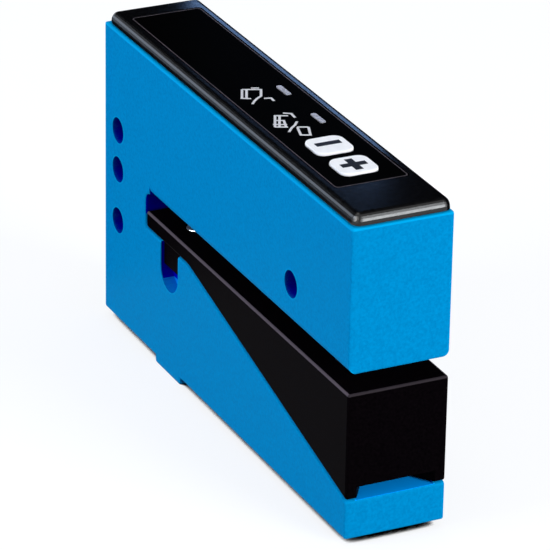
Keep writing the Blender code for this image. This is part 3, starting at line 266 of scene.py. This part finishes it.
# A lamp's cast epoxy body: cream, cloudy with its phosphor.
PHOSPHOR_MM = 0.4
lamp_cream, tree, shader, place = surface_of("cream_phosphor_epoxy", {})
cloud = add(tree, "ShaderNodeTexNoise", {"Scale": scale_of(PHOSPHOR_MM)}, {"Vector": place})
finish(tree, shader, cloud.outputs["Fac"], ("#E8DDB0", "#F3ECCB"), (0.26, 0.34))
dress(lamp_cream, "lamp_rear", "lamp_front")


# ---- Leads ---------------------------------------------------------------------------------
# A flat lead of amber film runs down the spine between the boards, and a short insulated wire
# joins each transducer to its board.

# Polyimide film over copper conductors: amber, with the conductors showing through as stripes.
CONDUCTOR_MM = 0.65
amber_film, tree, shader, place = surface_of("amber_polyimide_film", {})
stripes = add(tree, "ShaderNodeTexWave", {
    "bands_direction": "Y", "Scale": wave_scale_of(CONDUCTOR_MM),
}, {"Vector": place})
finish(tree, shader, stripes.outputs["Fac"], ("#A8560F", "#D08A2C"), (0.25, 0.32), 0.01)
dress(amber_film, "flat_lead")

# Extruded soft vinyl: smooth and slightly waxy.
WAX_MM = 0.5
red_vinyl, tree, shader, place = surface_of("red_vinyl_insulation", {})
wax = add(tree, "ShaderNodeTexNoise", {"Scale": scale_of(WAX_MM)}, {"Vector": place})
finish(tree, shader, wax.outputs["Fac"], ("#9E1B16", "#B4231C"), (0.38, 0.5))
dress(red_vinyl, "receiver_wire", "transmitter_wire")


# ---- Lower arm -----------------------------------------------------------------------------
# One moulding of black glass-filled nylon that fills the fork's lower arm, with a latch in
# each side window and a low opening at its front. It drops in and is held by two screws.

# Glass-filled nylon from a fine spark-eroded tool: deep black, low sheen, a fine even grain that
# is set coarser than the real one, so that it shows. Its rounded top edges carry a painted
# highlight, a thin line of warm grey, fainter in front.
SPARK_GRAIN_MM = 0.4
ARM_HIGHLIGHT_MM = 0.36
ARM_HIGHLIGHT_FADE_MM = 0.1
SIDE_HIGHLIGHT_GREY = "#584E53"
FRONT_HIGHLIGHT_GREY = "#302A2D"
nylon, tree, shader, place = surface_of("black_glass_filled_nylon", {"Specular IOR Level": 0.004})
flow = add(tree, "ShaderNodeTexNoise", {
    "Scale": scale_of(SPARK_GRAIN_MM), "Detail": 3.0,
}, {"Vector": place})
finish(tree, shader, flow.outputs["Fac"], ("#020102", "#070406"), (0.36, 0.48), 0.006)
arm_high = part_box("lower_arm")[1]
spot = add(tree, "ShaderNodeSeparateXYZ", {}, {0: place}).outputs
half = add(tree, "ShaderNodeMath", {"operation": "ABSOLUTE"}, {0: spot["Y"]}).outputs[0]
# How far a point is past the start of the painted highlight band: at the sides, in front and on
# top.
past = []
for distance, limit in ((half, arm_high.y), (spot["X"], arm_high.x), (spot["Z"], arm_high.z)):
    past.append(add(tree, "ShaderNodeMath", {
        "operation": "SUBTRACT", 1: limit - ARM_HIGHLIGHT_MM * MM,
    }, {0: distance}).outputs[0])
# Painted highlight along the rounded top edges, at the sides and in front.
for outer, code in ((past[0], SIDE_HIGHLIGHT_GREY), (past[1], FRONT_HIGHLIGHT_GREY)):
    corner = add(tree, "ShaderNodeMath", {"operation": "MINIMUM"}, {0: outer, 1: past[2]})
    arm_highlight_share = add(tree, "ShaderNodeMapRange", {
        "From Max": ARM_HIGHLIGHT_FADE_MM * MM,
    }, {"Value": corner.outputs[0]})
    overlay(tree, shader, code, arm_highlight_share.outputs[0])
dress(nylon, "lower_arm")

# Zinc plating on a steel screw: blue-white, with fine turned marks on the head.
TURNED_MARK_MM = 0.12
zinc_plate, tree, shader, place = surface_of("zinc_plated_steel", {"Metallic": 1.0})
marks = add(tree, "ShaderNodeTexNoise", {"Scale": scale_of(TURNED_MARK_MM)}, {"Vector": place})
finish(tree, shader, marks.outputs["Fac"], ("#C3C6CC", "#D9DBDF"), (0.22, 0.36))
dress(zinc_plate, "arm_screw_near", "arm_screw_far")


# ---- Plug inlet ----------------------------------------------------------------------------
# A turned brass sleeve with an M8 thread and a flange that seats in the rear face's spot face,
# nickel plated all over. It holds a nylon carrier with four gold plated contact pins.

# Nickel on turned brass: a warm white metal with the faint rings that the tool leaves.
TOOL_MARK_MM = 0.16
nickel, tree, shader, place = surface_of("nickel_plated_brass", {"Metallic": 1.0})
turning = add(tree, "ShaderNodeTexWave", {
    "bands_direction": "X", "Scale": wave_scale_of(TOOL_MARK_MM),
    "Distortion": 0.8, "Detail": 2.0,
}, {"Vector": place})
finish(tree, shader, turning.outputs["Fac"], ("#BDB6A8", "#CFC9BD"), (0.2, 0.32), 0.002)

# Glass-filled nylon of the contact carrier: black with a soft sheen.
carrier_black, tree, shader, place = surface_of("black_nylon_carrier", {"Specular IOR Level": 0.3})
flow = add(tree, "ShaderNodeTexNoise", {
    "Scale": scale_of(SPARK_GRAIN_MM), "Detail": 2.0,
}, {"Vector": place})
finish(tree, shader, flow.outputs["Fac"], ("#0C0C0D", "#151516"), (0.45, 0.55), 0.004)
dress(carrier_black, "contact_carrier")

# Gold flash on the contact pins: deep yellow, polished.
POLISH_MM = 0.3
gold, tree, shader, place = surface_of("gold_plated_pins", {"Metallic": 1.0})
polish = add(tree, "ShaderNodeTexNoise", {"Scale": scale_of(POLISH_MM)}, {"Vector": place})
finish(tree, shader, polish.outputs["Fac"], ("#D9A645", "#E6B859"), (0.16, 0.26))
dress(gold, "contact_1", "contact_2", "contact_3", "contact_4")

# The sleeve's radii, and where its flange lies along x.
SLEEVE_BORE = 3.0 * MM
THREAD_ROOT = 3.39 * MM
SLEEVE_NECK = 3.6 * MM
FLANGE_REAR = -40.3 * MM
FLANGE_FRONT = -38.8 * MM
SLEEVE_CHAMFER = 0.18 * MM
SLEEVE_STEPS = 72
SHARP_DEGREES = 30

inlet_low, inlet_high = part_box("inlet_shell")
inlet_z = (inlet_low.z + inlet_high.z) / 2
flange_radius = (inlet_high.z - inlet_low.z) / 2


def mesh_piece(name, mesh, material, body):
    """A new piece from a mesh, with this material, on its body."""
    mesh.materials.clear()
    mesh.materials.append(material)
    piece = bpy.data.objects.new(name, mesh)
    bpy.context.scene.collection.objects.link(piece)
    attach(piece, body)
    return piece


def closed_mesh(name, shape):
    """Finish a bmesh as a mesh with outward faces that shades smooth up to the sharp angle."""
    bmesh.ops.recalc_face_normals(shape, faces=shape.faces)
    mesh = bpy.data.meshes.new(name)
    shape.to_mesh(mesh)
    shape.free()
    mesh.shade_smooth()
    mesh.set_sharp_from_angle(angle=math.radians(SHARP_DEGREES))
    return mesh


sleeve_profile = [
    (SLEEVE_BORE, inlet_low.x + SLEEVE_CHAMFER),
    (SLEEVE_BORE + SLEEVE_CHAMFER, inlet_low.x),
    (THREAD_ROOT, inlet_low.x),
    (THREAD_ROOT, FLANGE_REAR),
    (flange_radius - SLEEVE_CHAMFER, FLANGE_REAR),
    (flange_radius, FLANGE_REAR + SLEEVE_CHAMFER),
    (flange_radius, FLANGE_FRONT - SLEEVE_CHAMFER),
    (flange_radius - SLEEVE_CHAMFER, FLANGE_FRONT),
    (SLEEVE_NECK, FLANGE_FRONT),
    (SLEEVE_NECK, inlet_high.x),
    (SLEEVE_BORE, inlet_high.x),
]
shape = bmesh.new()
turns = [math.tau * step / SLEEVE_STEPS for step in range(SLEEVE_STEPS)]
rings = []
for radius, x in sleeve_profile:
    rings.append([
        shape.verts.new((x, radius * math.cos(turn), inlet_z + radius * math.sin(turn)))
        for turn in turns
    ])
for ring, following in zip(rings, rings[1:] + rings[:1]):
    for step in range(SLEEVE_STEPS):
        after = (step + 1) % SLEEVE_STEPS
        shape.faces.new((ring[step], ring[after], following[after], following[step]))
sleeve_mesh = closed_mesh("inlet_sleeve", shape)
sleeve = mesh_piece("inlet_sleeve", sleeve_mesh, nickel, "sensor")
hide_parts("inlet_shell")

# The thread starts half a pitch from the sleeve's rear end, and its foot is sunk in the sleeve.
# The flank's foot and top are shares of the pitch, from the middle of the ridge.
THREAD_CREST = 3.98 * MM
THREAD_PITCH = 1.0 * MM
THREAD_TURNS = 5.4
THREAD_SINK = 0.02 * MM
THREAD_STEPS_ALONG = 320
THREAD_STEPS_ACROSS = 8
THREAD_SHARP_DEGREES = 20
FLANK_FOOT = 0.44
FLANK_TOP = 0.07
FADE_TURNS = 0.5


def thread_tree():
    """A screw thread round an x axis: a grid that is wound into a ridge, with faded ends."""
    group = bpy.data.node_groups.new("screw_thread", "GeometryNodeTree")
    for name in ("Root Radius", "Crest Radius", "Pitch", "Turns", "Start", "Axis Height"):
        group.interface.new_socket(name, in_out="INPUT", socket_type="NodeSocketFloat")
    group.interface.new_socket("Finish", in_out="INPUT", socket_type="NodeSocketMaterial")
    group.interface.new_socket("Geometry", in_out="OUTPUT", socket_type="NodeSocketGeometry")
    given = add(group, "NodeGroupInput").outputs

    def figure(operation, *terms):
        """One step of the sum, from sockets or plain numbers."""
        settings = {"operation": operation}
        links = {}
        for number, term in enumerate(terms):
            kept = settings if isinstance(term, (int, float)) else links
            kept[number] = term
        return add(group, "ShaderNodeMath", settings, links).outputs[0]

    # A square grid of side 1 round the origin: x runs along the thread, y over one pitch.
    grid = add(group, "GeometryNodeMeshGrid", {
        "Size X": 1.0, "Size Y": 1.0,
        "Vertices X": THREAD_STEPS_ALONG + 1, "Vertices Y": THREAD_STEPS_ACROSS + 1,
    })
    position = add(group, "GeometryNodeInputPosition")
    spot = add(group, "ShaderNodeSeparateXYZ", {}, {0: position.outputs[0]}).outputs
    way = figure("ADD", spot["X"], 0.5)
    turns_done = figure("MULTIPLY", way, given["Turns"])
    angle = figure("MULTIPLY", turns_done, math.tau)
    # A flat crest, straight flanks and a flat root, over one pitch.
    flank = add(group, "ShaderNodeMapRange", {
        "From Min": FLANK_FOOT, "From Max": FLANK_TOP,
    }, {"Value": figure("ABSOLUTE", spot["Y"])}).outputs[0]
    nearest_end = figure("MINIMUM", way, figure("SUBTRACT", 1.0, way))
    turns_left = figure("MULTIPLY", nearest_end, given["Turns"])
    fade = figure("MINIMUM", figure("MULTIPLY", turns_left, 1 / FADE_TURNS), 1.0)
    rise = figure("SUBTRACT", given["Crest Radius"], given["Root Radius"])
    radius = figure("MULTIPLY_ADD", figure("MULTIPLY", flank, fade), rise, given["Root Radius"])
    along = figure("MULTIPLY", turns_done, given["Pitch"])
    x = figure("ADD", figure("MULTIPLY_ADD", spot["Y"], given["Pitch"], along), given["Start"])
    y = figure("MULTIPLY", radius, figure("COSINE", angle))
    z = figure("MULTIPLY_ADD", radius, figure("SINE", angle), given["Axis Height"])
    wound = add(group, "ShaderNodeCombineXYZ", {}, {"X": x, "Y": y, "Z": z})
    ridge = add(group, "GeometryNodeSetPosition", {}, {
        "Geometry": grid.outputs["Mesh"], "Position": wound.outputs[0],
    })
    real = add(group, "GeometryNodeRealizeInstances", {}, {"Geometry": ridge.outputs[0]})
    coated = add(group, "GeometryNodeSetMaterial", {}, {
        "Geometry": real.outputs[0], "Material": given["Finish"],
    })
    add(group, "NodeGroupOutput", {}, {"Geometry": coated.outputs[0]})
    return group


def grown(name, group, values):
    """The plain mesh that a node tree makes with these values for its named inputs."""
    carrier = bpy.data.objects.new(name, bpy.data.meshes.new(name))
    bpy.context.scene.collection.objects.link(carrier)
    change = carrier.modifiers.new(group.name, "NODES")
    change.node_group = group
    for item in group.interface.items_tree:
        if item.in_out == "INPUT":
            change[item.identifier] = values[item.name]
    seen = carrier.evaluated_get(bpy.context.evaluated_depsgraph_get())
    mesh = bpy.data.meshes.new_from_object(seen)
    bpy.data.objects.remove(carrier, do_unlink=True)
    return mesh


thread_mesh = grown("inlet_thread", thread_tree(), {
    "Root Radius": THREAD_ROOT - THREAD_SINK,
    "Crest Radius": THREAD_CREST,
    "Pitch": THREAD_PITCH,
    "Turns": THREAD_TURNS,
    "Start": inlet_low.x + THREAD_PITCH / 2,
    "Axis Height": inlet_z,
    "Finish": nickel,
})
thread_mesh.shade_smooth()
thread_mesh.set_sharp_from_angle(angle=math.radians(THREAD_SHARP_DEGREES))
mesh_piece("inlet_thread", thread_mesh, nickel, "sensor")


# ---- Cover ---------------------------------------------------------------------------------
# A black moulded cover that closes the upper arm, rounded all round, with a shallow recess for
# the label. It is held by its skirt, and its front end is plain.

# Glass-filled plastic from a polished tool: black with a soft shine along its rolled edges.
MOULD_FLOW_MM = 0.7
cover_black, tree, shader, place = surface_of("black_moulded_cover", {"Specular IOR Level": 0.4})
flow = add(tree, "ShaderNodeTexNoise", {
    "Scale": scale_of(MOULD_FLOW_MM), "Detail": 2.0,
}, {"Vector": place})
finish(tree, shader, flow.outputs["Fac"], ("#030304", "#070708"), (0.2, 0.26), 0.003)
dress(cover_black, "cover")


# ---- Label membrane ------------------------------------------------------------------------
# A black polyester film that is glued into the cover's recess, printed from behind, with
# windows for the keys and the signal lamps, and a fine grey line just inside its edge that is a
# painted highlight of the recess edge.

# Polyester film with a fine matt texture: dense black that throws back hardly any light. The
# texture is set coarser than the real one, so that it shows.
FILM_GRAIN_MM = 0.25
film, tree, shader, place = surface_of("matt_black_polyester_film", {"Specular IOR Level": 0.001})
matt = add(tree, "ShaderNodeTexNoise", {
    "Scale": scale_of(FILM_GRAIN_MM), "Detail": 2.0,
}, {"Vector": place})
finish(tree, shader, matt.outputs["Fac"], ("#010101", "#040404"), (0.4, 0.55), 0.004)
dress(film, "label_membrane")

# Screen ink, light grey: thin and even, a little blotchy at its edges.
INK_MM = 0.3
ink, tree, shader, place = surface_of("light_grey_screen_ink", {"Specular IOR Level": 0.2})
blotch = add(tree, "ShaderNodeTexNoise", {
    "Scale": scale_of(INK_MM), "Detail": 3.0,
}, {"Vector": place})
finish(tree, shader, blotch.outputs["Fac"], ("#C0BCBA", "#E0DDDB"), (0.5, 0.6))

# The border line is a painted highlight of the recess edge, in a warm dark grey over the black
# film.
border_highlight_ink, tree, shader, place = surface_of("grey_border_painted_highlight", {"Specular IOR Level": 0.1})
blotch = add(tree, "ShaderNodeTexNoise", {
    "Scale": scale_of(INK_MM), "Detail": 3.0,
}, {"Vector": place})
finish(tree, shader, blotch.outputs["Fac"], ("#2E292B", "#5A5154"), (0.5, 0.6))

INK_THICKNESS = 0.012 * MM
INK_STEP = 0.002 * MM
MITRE_LIMIT = 0.5


def ribbon(shape, points, width, bottom, top, joined=False):
    """Lay a flat line of this width along points in mm, with mitred corners."""
    path = [Vector(point) * MM for point in points]
    count = len(path)
    sides = []
    for index, point in enumerate(path):
        before = path[index - 1] if joined or index else point
        after = path[(index + 1) % count] if joined or index + 1 < count else point
        ways = [way.normalized() for way in (point - before, after - point) if way.length > 0]
        middle_way = sum(ways, Vector((0.0, 0.0))).normalized()
        stretch = max(middle_way.dot(ways[0]), MITRE_LIMIT)
        across = Vector((-middle_way.y, middle_way.x)) * (width / 2 / stretch)
        sides.append([
            shape.verts.new((*(point + across), top)),
            shape.verts.new((*(point - across), top)),
            shape.verts.new((*(point - across), bottom)),
            shape.verts.new((*(point + across), bottom)),
        ])
    pairs = list(zip(sides, sides[1:])) + ([(sides[-1], sides[0])] if joined else [])
    for here, there in pairs:
        for corner in range(4):
            following = (corner + 1) % 4
            shape.faces.new((here[corner], here[following], there[following], there[corner]))
    if not joined:
        shape.faces.new(sides[0])
        shape.faces.new(sides[-1])


label_low, label_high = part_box("label_membrane")

# A painted highlight of the recess edge: a thin line round the film, near its edge.
BORDER_LINE = 0.17 * MM
BORDER_INSET = 0.03 * MM
BORDER_RADIUS = 0.6 * MM
BORDER_CORNER_STEPS = 6
edge = BORDER_LINE / 2 + BORDER_INSET + BORDER_RADIUS
border_path_mm = []
for x, y, first in (
    (label_high.x - edge, label_high.y - edge, 0),
    (label_low.x + edge, label_high.y - edge, 1),
    (label_low.x + edge, label_low.y + edge, 2),
    (label_high.x - edge, label_low.y + edge, 3),
):
    for step in range(BORDER_CORNER_STEPS + 1):
        turn = math.pi / 2 * (first + step / BORDER_CORNER_STEPS)
        border_path_mm.append((
            (x + BORDER_RADIUS * math.cos(turn)) / MM,
            (y + BORDER_RADIUS * math.sin(turn)) / MM,
        ))
shape = bmesh.new()
bottom = label_high.z - INK_THICKNESS
ribbon(shape, border_path_mm, BORDER_LINE, bottom, label_high.z + INK_THICKNESS, True)
border_mesh = closed_mesh("label_border_highlight", shape)
mesh_piece("label_border_highlight", border_mesh, border_highlight_ink, "sensor")

# Two plain picture signs beside the lamps, a loop with a tail and a loop with a small box. Each
# line's ink lies a little higher than the one before, so that no two lines share a plane.
SIGN_LINE = 0.37 * MM
SIGNS_MM = {
    "label_sign_rear": (
        ((-0.63, -2.40), (2.55, -3.89)),
        ((-0.36, -1.79), (2.81, -3.28)),
        ((2.39, -4.06), (3.11, -2.69)),
        ((-0.63, -2.40), (0.48, 0.18), (2.78, -0.90), (3.42, -1.86), (4.15, -2.61), (5.08, -3.37)),
        ((-0.63, -0.93), (-0.17, 0.16)),
        ((3.76, -0.88), (4.06, 0.12), (5.28, 0.03)),
    ),
    "label_sign_front": (
        ((10.36, -2.23), (14.29, -4.10)),
        ((10.62, -1.63), (14.54, -3.50)),
        ((12.76, -1.92), (14.92, -2.63)),
        ((13.32, -3.96), (14.13, -2.09)),
        ((12.13, -2.91), (12.65, -1.71)),
        ((14.29, -4.10), (15.03, -2.37)),
        ((10.37, -2.40), (11.18, -0.52)),
        ((9.96, -0.75), (10.60, 0.25), (12.20, 0.12)),
        ((13.68, -0.27), (14.75, -1.11), (15.57, -2.06), (16.78, -3.04)),
        ((15.55, -1.17), (16.21, 0.36)),
        ((15.74, -1.18), (17.01, -1.55), (18.47, -1.94), (19.01, -0.68), (16.21, 0.36)),
    ),
}
for name, lines in SIGNS_MM.items():
    shape = bmesh.new()
    for number, line in enumerate(lines):
        top = label_high.z + INK_THICKNESS + number * INK_STEP
        ribbon(shape, line, SIGN_LINE, bottom, top)
    mesh_piece(name, closed_mesh(name, shape), ink, "sensor")


# ---- Light pipes ---------------------------------------------------------------------------
# Two small bars, moulded in clear acrylic and pressed into holes in the cover. They bring the
# signal lamps' light up from the key board to the label's top.

# Clear acrylic over a dark hollow: it looks mid grey while its lamp is off.
HAZE_MM = 0.5
clear_acrylic, tree, shader, place = surface_of("smoky_clear_acrylic", {
    "IOR": 1.49, "Specular IOR Level": 0.3, "Transmission Weight": 0.25,
})
haze = add(tree, "ShaderNodeTexNoise", {"Scale": scale_of(HAZE_MM)}, {"Vector": place})
finish(tree, shader, haze.outputs["Fac"], ("#A8A2A2", "#C4BEBE"), (0.2, 0.35))
dress(clear_acrylic, "light_pipe_rear", "light_pipe_front")


# ---- Keys ----------------------------------------------------------------------------------
# Two white moulded keys that stand a little proud of the label and press a switch each. Their
# signs are printed on top, a bar on the rear key and a cross on the front one.

# White moulded plastic: clean, satin, faintly mottled.
MOTTLE_MM = 1.2
key_white, tree, shader, place = surface_of("white_moulded_key", {"Specular IOR Level": 0.25})
mottle = add(tree, "ShaderNodeTexNoise", {
    "Scale": scale_of(MOTTLE_MM), "Detail": 3.0,
}, {"Vector": place})
finish(tree, shader, mottle.outputs["Fac"], ("#F2EEEA", "#F9F5F1"), (0.42, 0.52), 0.004)
dress(key_white, "key_minus", "key_plus")

# Black pad-printing ink: dense, with a soft sheen.
pad_ink, tree, shader, place = surface_of("black_pad_print", {"Specular IOR Level": 0.2})
blotch = add(tree, "ShaderNodeTexNoise", {
    "Scale": scale_of(INK_MM), "Detail": 3.0,
}, {"Vector": place})
finish(tree, shader, blotch.outputs["Fac"], ("#0C0C10", "#18181D"), (0.45, 0.6))

KEY_SIGN_LINE = 1.2 * MM
KEY_SIGN_REACH_MM = 2.0
MINUS_SIGN_SHIFT_MM = -0.4
for name, body, node, shift_mm in (
    ("sign_minus", "minus_button", "key_minus", MINUS_SIGN_SHIFT_MM),
    ("sign_plus", "plus_button", "key_plus", 0.0),
):
    low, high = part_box(node)
    x = (low.x + high.x) / 2 / MM + shift_mm
    shape = bmesh.new()
    bottom = high.z - INK_THICKNESS
    top = high.z + INK_THICKNESS
    ends = ((x, -KEY_SIGN_REACH_MM), (x, KEY_SIGN_REACH_MM))
    ribbon(shape, ends, KEY_SIGN_LINE, bottom, top)
    if name == "sign_plus":
        ends = ((x - KEY_SIGN_REACH_MM, 0.0), (x + KEY_SIGN_REACH_MM, 0.0))
        ribbon(shape, ends, KEY_SIGN_LINE, bottom, top + INK_STEP)
    mesh_piece(name, closed_mesh(name, shape), pad_ink, body)


# ---- Studio --------------------------------------------------------------------------------
# A white floor in white air, with a softbox on the near side, one overhead and a stronger, lower
# one before the front, which draws the light line on the cover's front edge.

# The floor is a mid grey to the lamps, so that little light comes back up from it.
FLOOR_HALF = 3.0
FLOOR_SHARE = 0.25
shape = bmesh.new()
bmesh.ops.create_grid(shape, x_segments=1, y_segments=1, size=FLOOR_HALF)
floor_mesh = bpy.data.meshes.new("studio_floor")
shape.to_mesh(floor_mesh)
shape.free()
floor = bpy.data.objects.new("studio_floor", floor_mesh)
bpy.context.scene.collection.objects.link(floor)
floor_white, tree, shader, _ = surface_of("matt_white_floor", {
    "Base Color": (FLOOR_SHARE, FLOOR_SHARE, FLOOR_SHARE, 1.0),
    "Roughness": 0.9, "Specular IOR Level": 0.0,
})


def seen_share(tree):
    """1 for what the camera, a mirror or glass sees, and 0 for light on its way to the object."""
    paths = add(tree, "ShaderNodeLightPath").outputs
    either = add(tree, "ShaderNodeMath", {"operation": "MAXIMUM"}, {
        0: paths["Is Camera Ray"], 1: paths["Is Glossy Ray"],
    })
    return add(tree, "ShaderNodeMath", {"operation": "MAXIMUM"}, {
        0: either.outputs[0], 1: paths["Is Transmission Ray"],
    }).outputs[0]


# The floor glows white, save for a painted contact shadow, a black line right under the object's
# edges.
FLOOR_GLOW = 0.78
CONTACT_REACH = 0.006
CONTACT_BLACK = 0.23
CONTACT_OPEN = 0.31
contact = add(tree, "ShaderNodeAmbientOcclusion", {"Distance": CONTACT_REACH, "samples": 24})
open_share = add(tree, "ShaderNodeMapRange", {
    "From Min": CONTACT_BLACK, "From Max": CONTACT_OPEN,
}, {"Value": contact.outputs["AO"]})
glow = add(tree, "ShaderNodeEmission", {"Strength": FLOOR_GLOW})
shone = add(tree, "ShaderNodeAddShader", {}, {0: shader.outputs[0], 1: glow.outputs[0]})
shadow_lined = add(tree, "ShaderNodeMixShader", {}, {0: open_share.outputs[0], 2: shone.outputs[0]})
choice = add(tree, "ShaderNodeMixShader", {}, {
    0: seen_share(tree), 1: shader.outputs[0], 2: shadow_lined.outputs[0],
})
tree.links.new(choice.outputs[0], tree.nodes["Material Output"].inputs["Surface"])
floor_mesh.materials.append(floor_white)

# The air lights the object faintly and coolly, and is white to the camera and to mirrors.
AIR_LIGHT = 0.45
AIR_TONE = (0.88, 0.98, 1.15, 1.0)
world = bpy.data.worlds.new("studio_air")
world.use_nodes = True
bpy.context.scene.world = world
tree = world.node_tree
air = tree.nodes["Background"]
air.inputs["Color"].default_value = AIR_TONE
air.inputs["Strength"].default_value = AIR_LIGHT
white = add(tree, "ShaderNodeBackground", {"Color": (1.0, 1.0, 1.0, 1.0), "Strength": 1.0})
choice = add(tree, "ShaderNodeMixShader", {}, {
    0: seen_share(tree), 1: air.outputs[0], 2: white.outputs[0],
})
tree.links.new(choice.outputs[0], tree.nodes["World Output"].inputs["Surface"])


def facing(where, aim):
    """The turn that points a lamp that stands here towards its aim."""
    return (Vector(aim) - Vector(where)).to_track_quat("-Z", "Y").to_euler()


# The softbox and the tube behind the object, the small lamp over its near corner and the three
# black cards round it are for reflections alone. They draw a light line along the cover's rolled
# edges and a glint on its corner, and keep its top black. A row's last word says whether a lamp
# also lights what is matt.
MIDDLE = (0.0, 0.0, 0.025)
FAR_RIM = (-0.037, 0.006, 0.0519)
NEAR_CORNER = (0.044, -0.006, 0.05)
for name, where, aim, size, watts, tone, lights_matt in (
    ("softbox_near_side", (-0.05, -0.6, 0.25), MIDDLE, (0.3, 0.3), 2.8, (0.9, 1.0, 1.16), True),
    ("softbox_front", (0.57, 0.24, 0.2), MIDDLE, (0.26, 0.26), 4.0, (0.94, 0.98, 1.02), True),
    ("softbox_top", (-0.1, 0.0, 0.8), MIDDLE, (0.5, 0.5), 0.8, (1.0, 0.98, 0.95), True),
    ("softbox_behind", (-0.56, -0.3, 0.11), MIDDLE, (0.5, 0.24), 0.47, (0.72, 0.95, 1.3), False),
    ("tube_far_side", (-0.037, 0.022, 0.0651), FAR_RIM, (0.07, 0.004), 0.0019, (0.55, 0.97, 1.9),
     False),
    ("glint_near_corner", (0.214, -0.386, 0.21), NEAR_CORNER, (0.12, 0.3), 4.0, (1.0, 1.0, 1.0),
     False),
):
    lamp = bpy.data.lights.new(name, "AREA")
    lamp.shape = "RECTANGLE"
    lamp.size, lamp.size_y = size
    lamp.energy = watts
    lamp.color = tone
    softbox = bpy.data.objects.new(name, lamp)
    bpy.context.scene.collection.objects.link(softbox)
    softbox.location = where
    softbox.rotation_euler = facing(where, aim)
    softbox.visible_diffuse = lights_matt

card_black = surface_of("black_card_paper", {
    "Base Color": linear("#050505"), "Specular IOR Level": 0.0,
})[0]
for name, corners in (
    ("black_card_above", (
        (-0.67, -0.65, 0.3), (-0.67, 0.65, 0.3), (-0.35, 0.65, 0.7), (-0.35, -0.65, 0.7),
    )),
    ("black_card_below", (
        (-0.6, -0.45, 0.0004), (-0.6, 0.45, 0.0004), (-0.05, 0.45, 0.0004), (-0.05, -0.45, 0.0004),
    )),
    ("black_card_far_side", (
        (-0.45, 0.026, 0.0), (0.06, 0.026, 0.0), (0.06, 0.026, 0.4), (-0.45, 0.026, 0.4),
    )),
):
    card_mesh = bpy.data.meshes.new(name)
    card_mesh.from_pydata(corners, [], [(0, 1, 2, 3)])
    card_mesh.materials.append(card_black)
    card = bpy.data.objects.new(name, card_mesh)
    bpy.context.scene.collection.objects.link(card)
    card.visible_camera = False
    card.visible_diffuse = False
    card.visible_transmission = False
    card.visible_shadow = False

# The camera that was fitted to the photograph, with a long lens.
CAMERA_LENS_MM = 274.3
CAMERA_SENSOR_MM = 36.0
CAMERA_PLACE = (0.51858, -0.24842, 0.28597)
CAMERA_DEGREES = (65.2957, -0.9102, 64.5313)
camera_data = bpy.data.cameras.new("studio_camera")
camera_data.lens = CAMERA_LENS_MM
camera_data.sensor_width = CAMERA_SENSOR_MM
camera = bpy.data.objects.new("studio_camera", camera_data)
bpy.context.scene.collection.objects.link(camera)
camera.location = CAMERA_PLACE
camera.rotation_euler = [math.radians(turn) for turn in CAMERA_DEGREES]
bpy.context.scene.camera = camera

bpy.context.scene.view_settings.view_transform = "Standard"
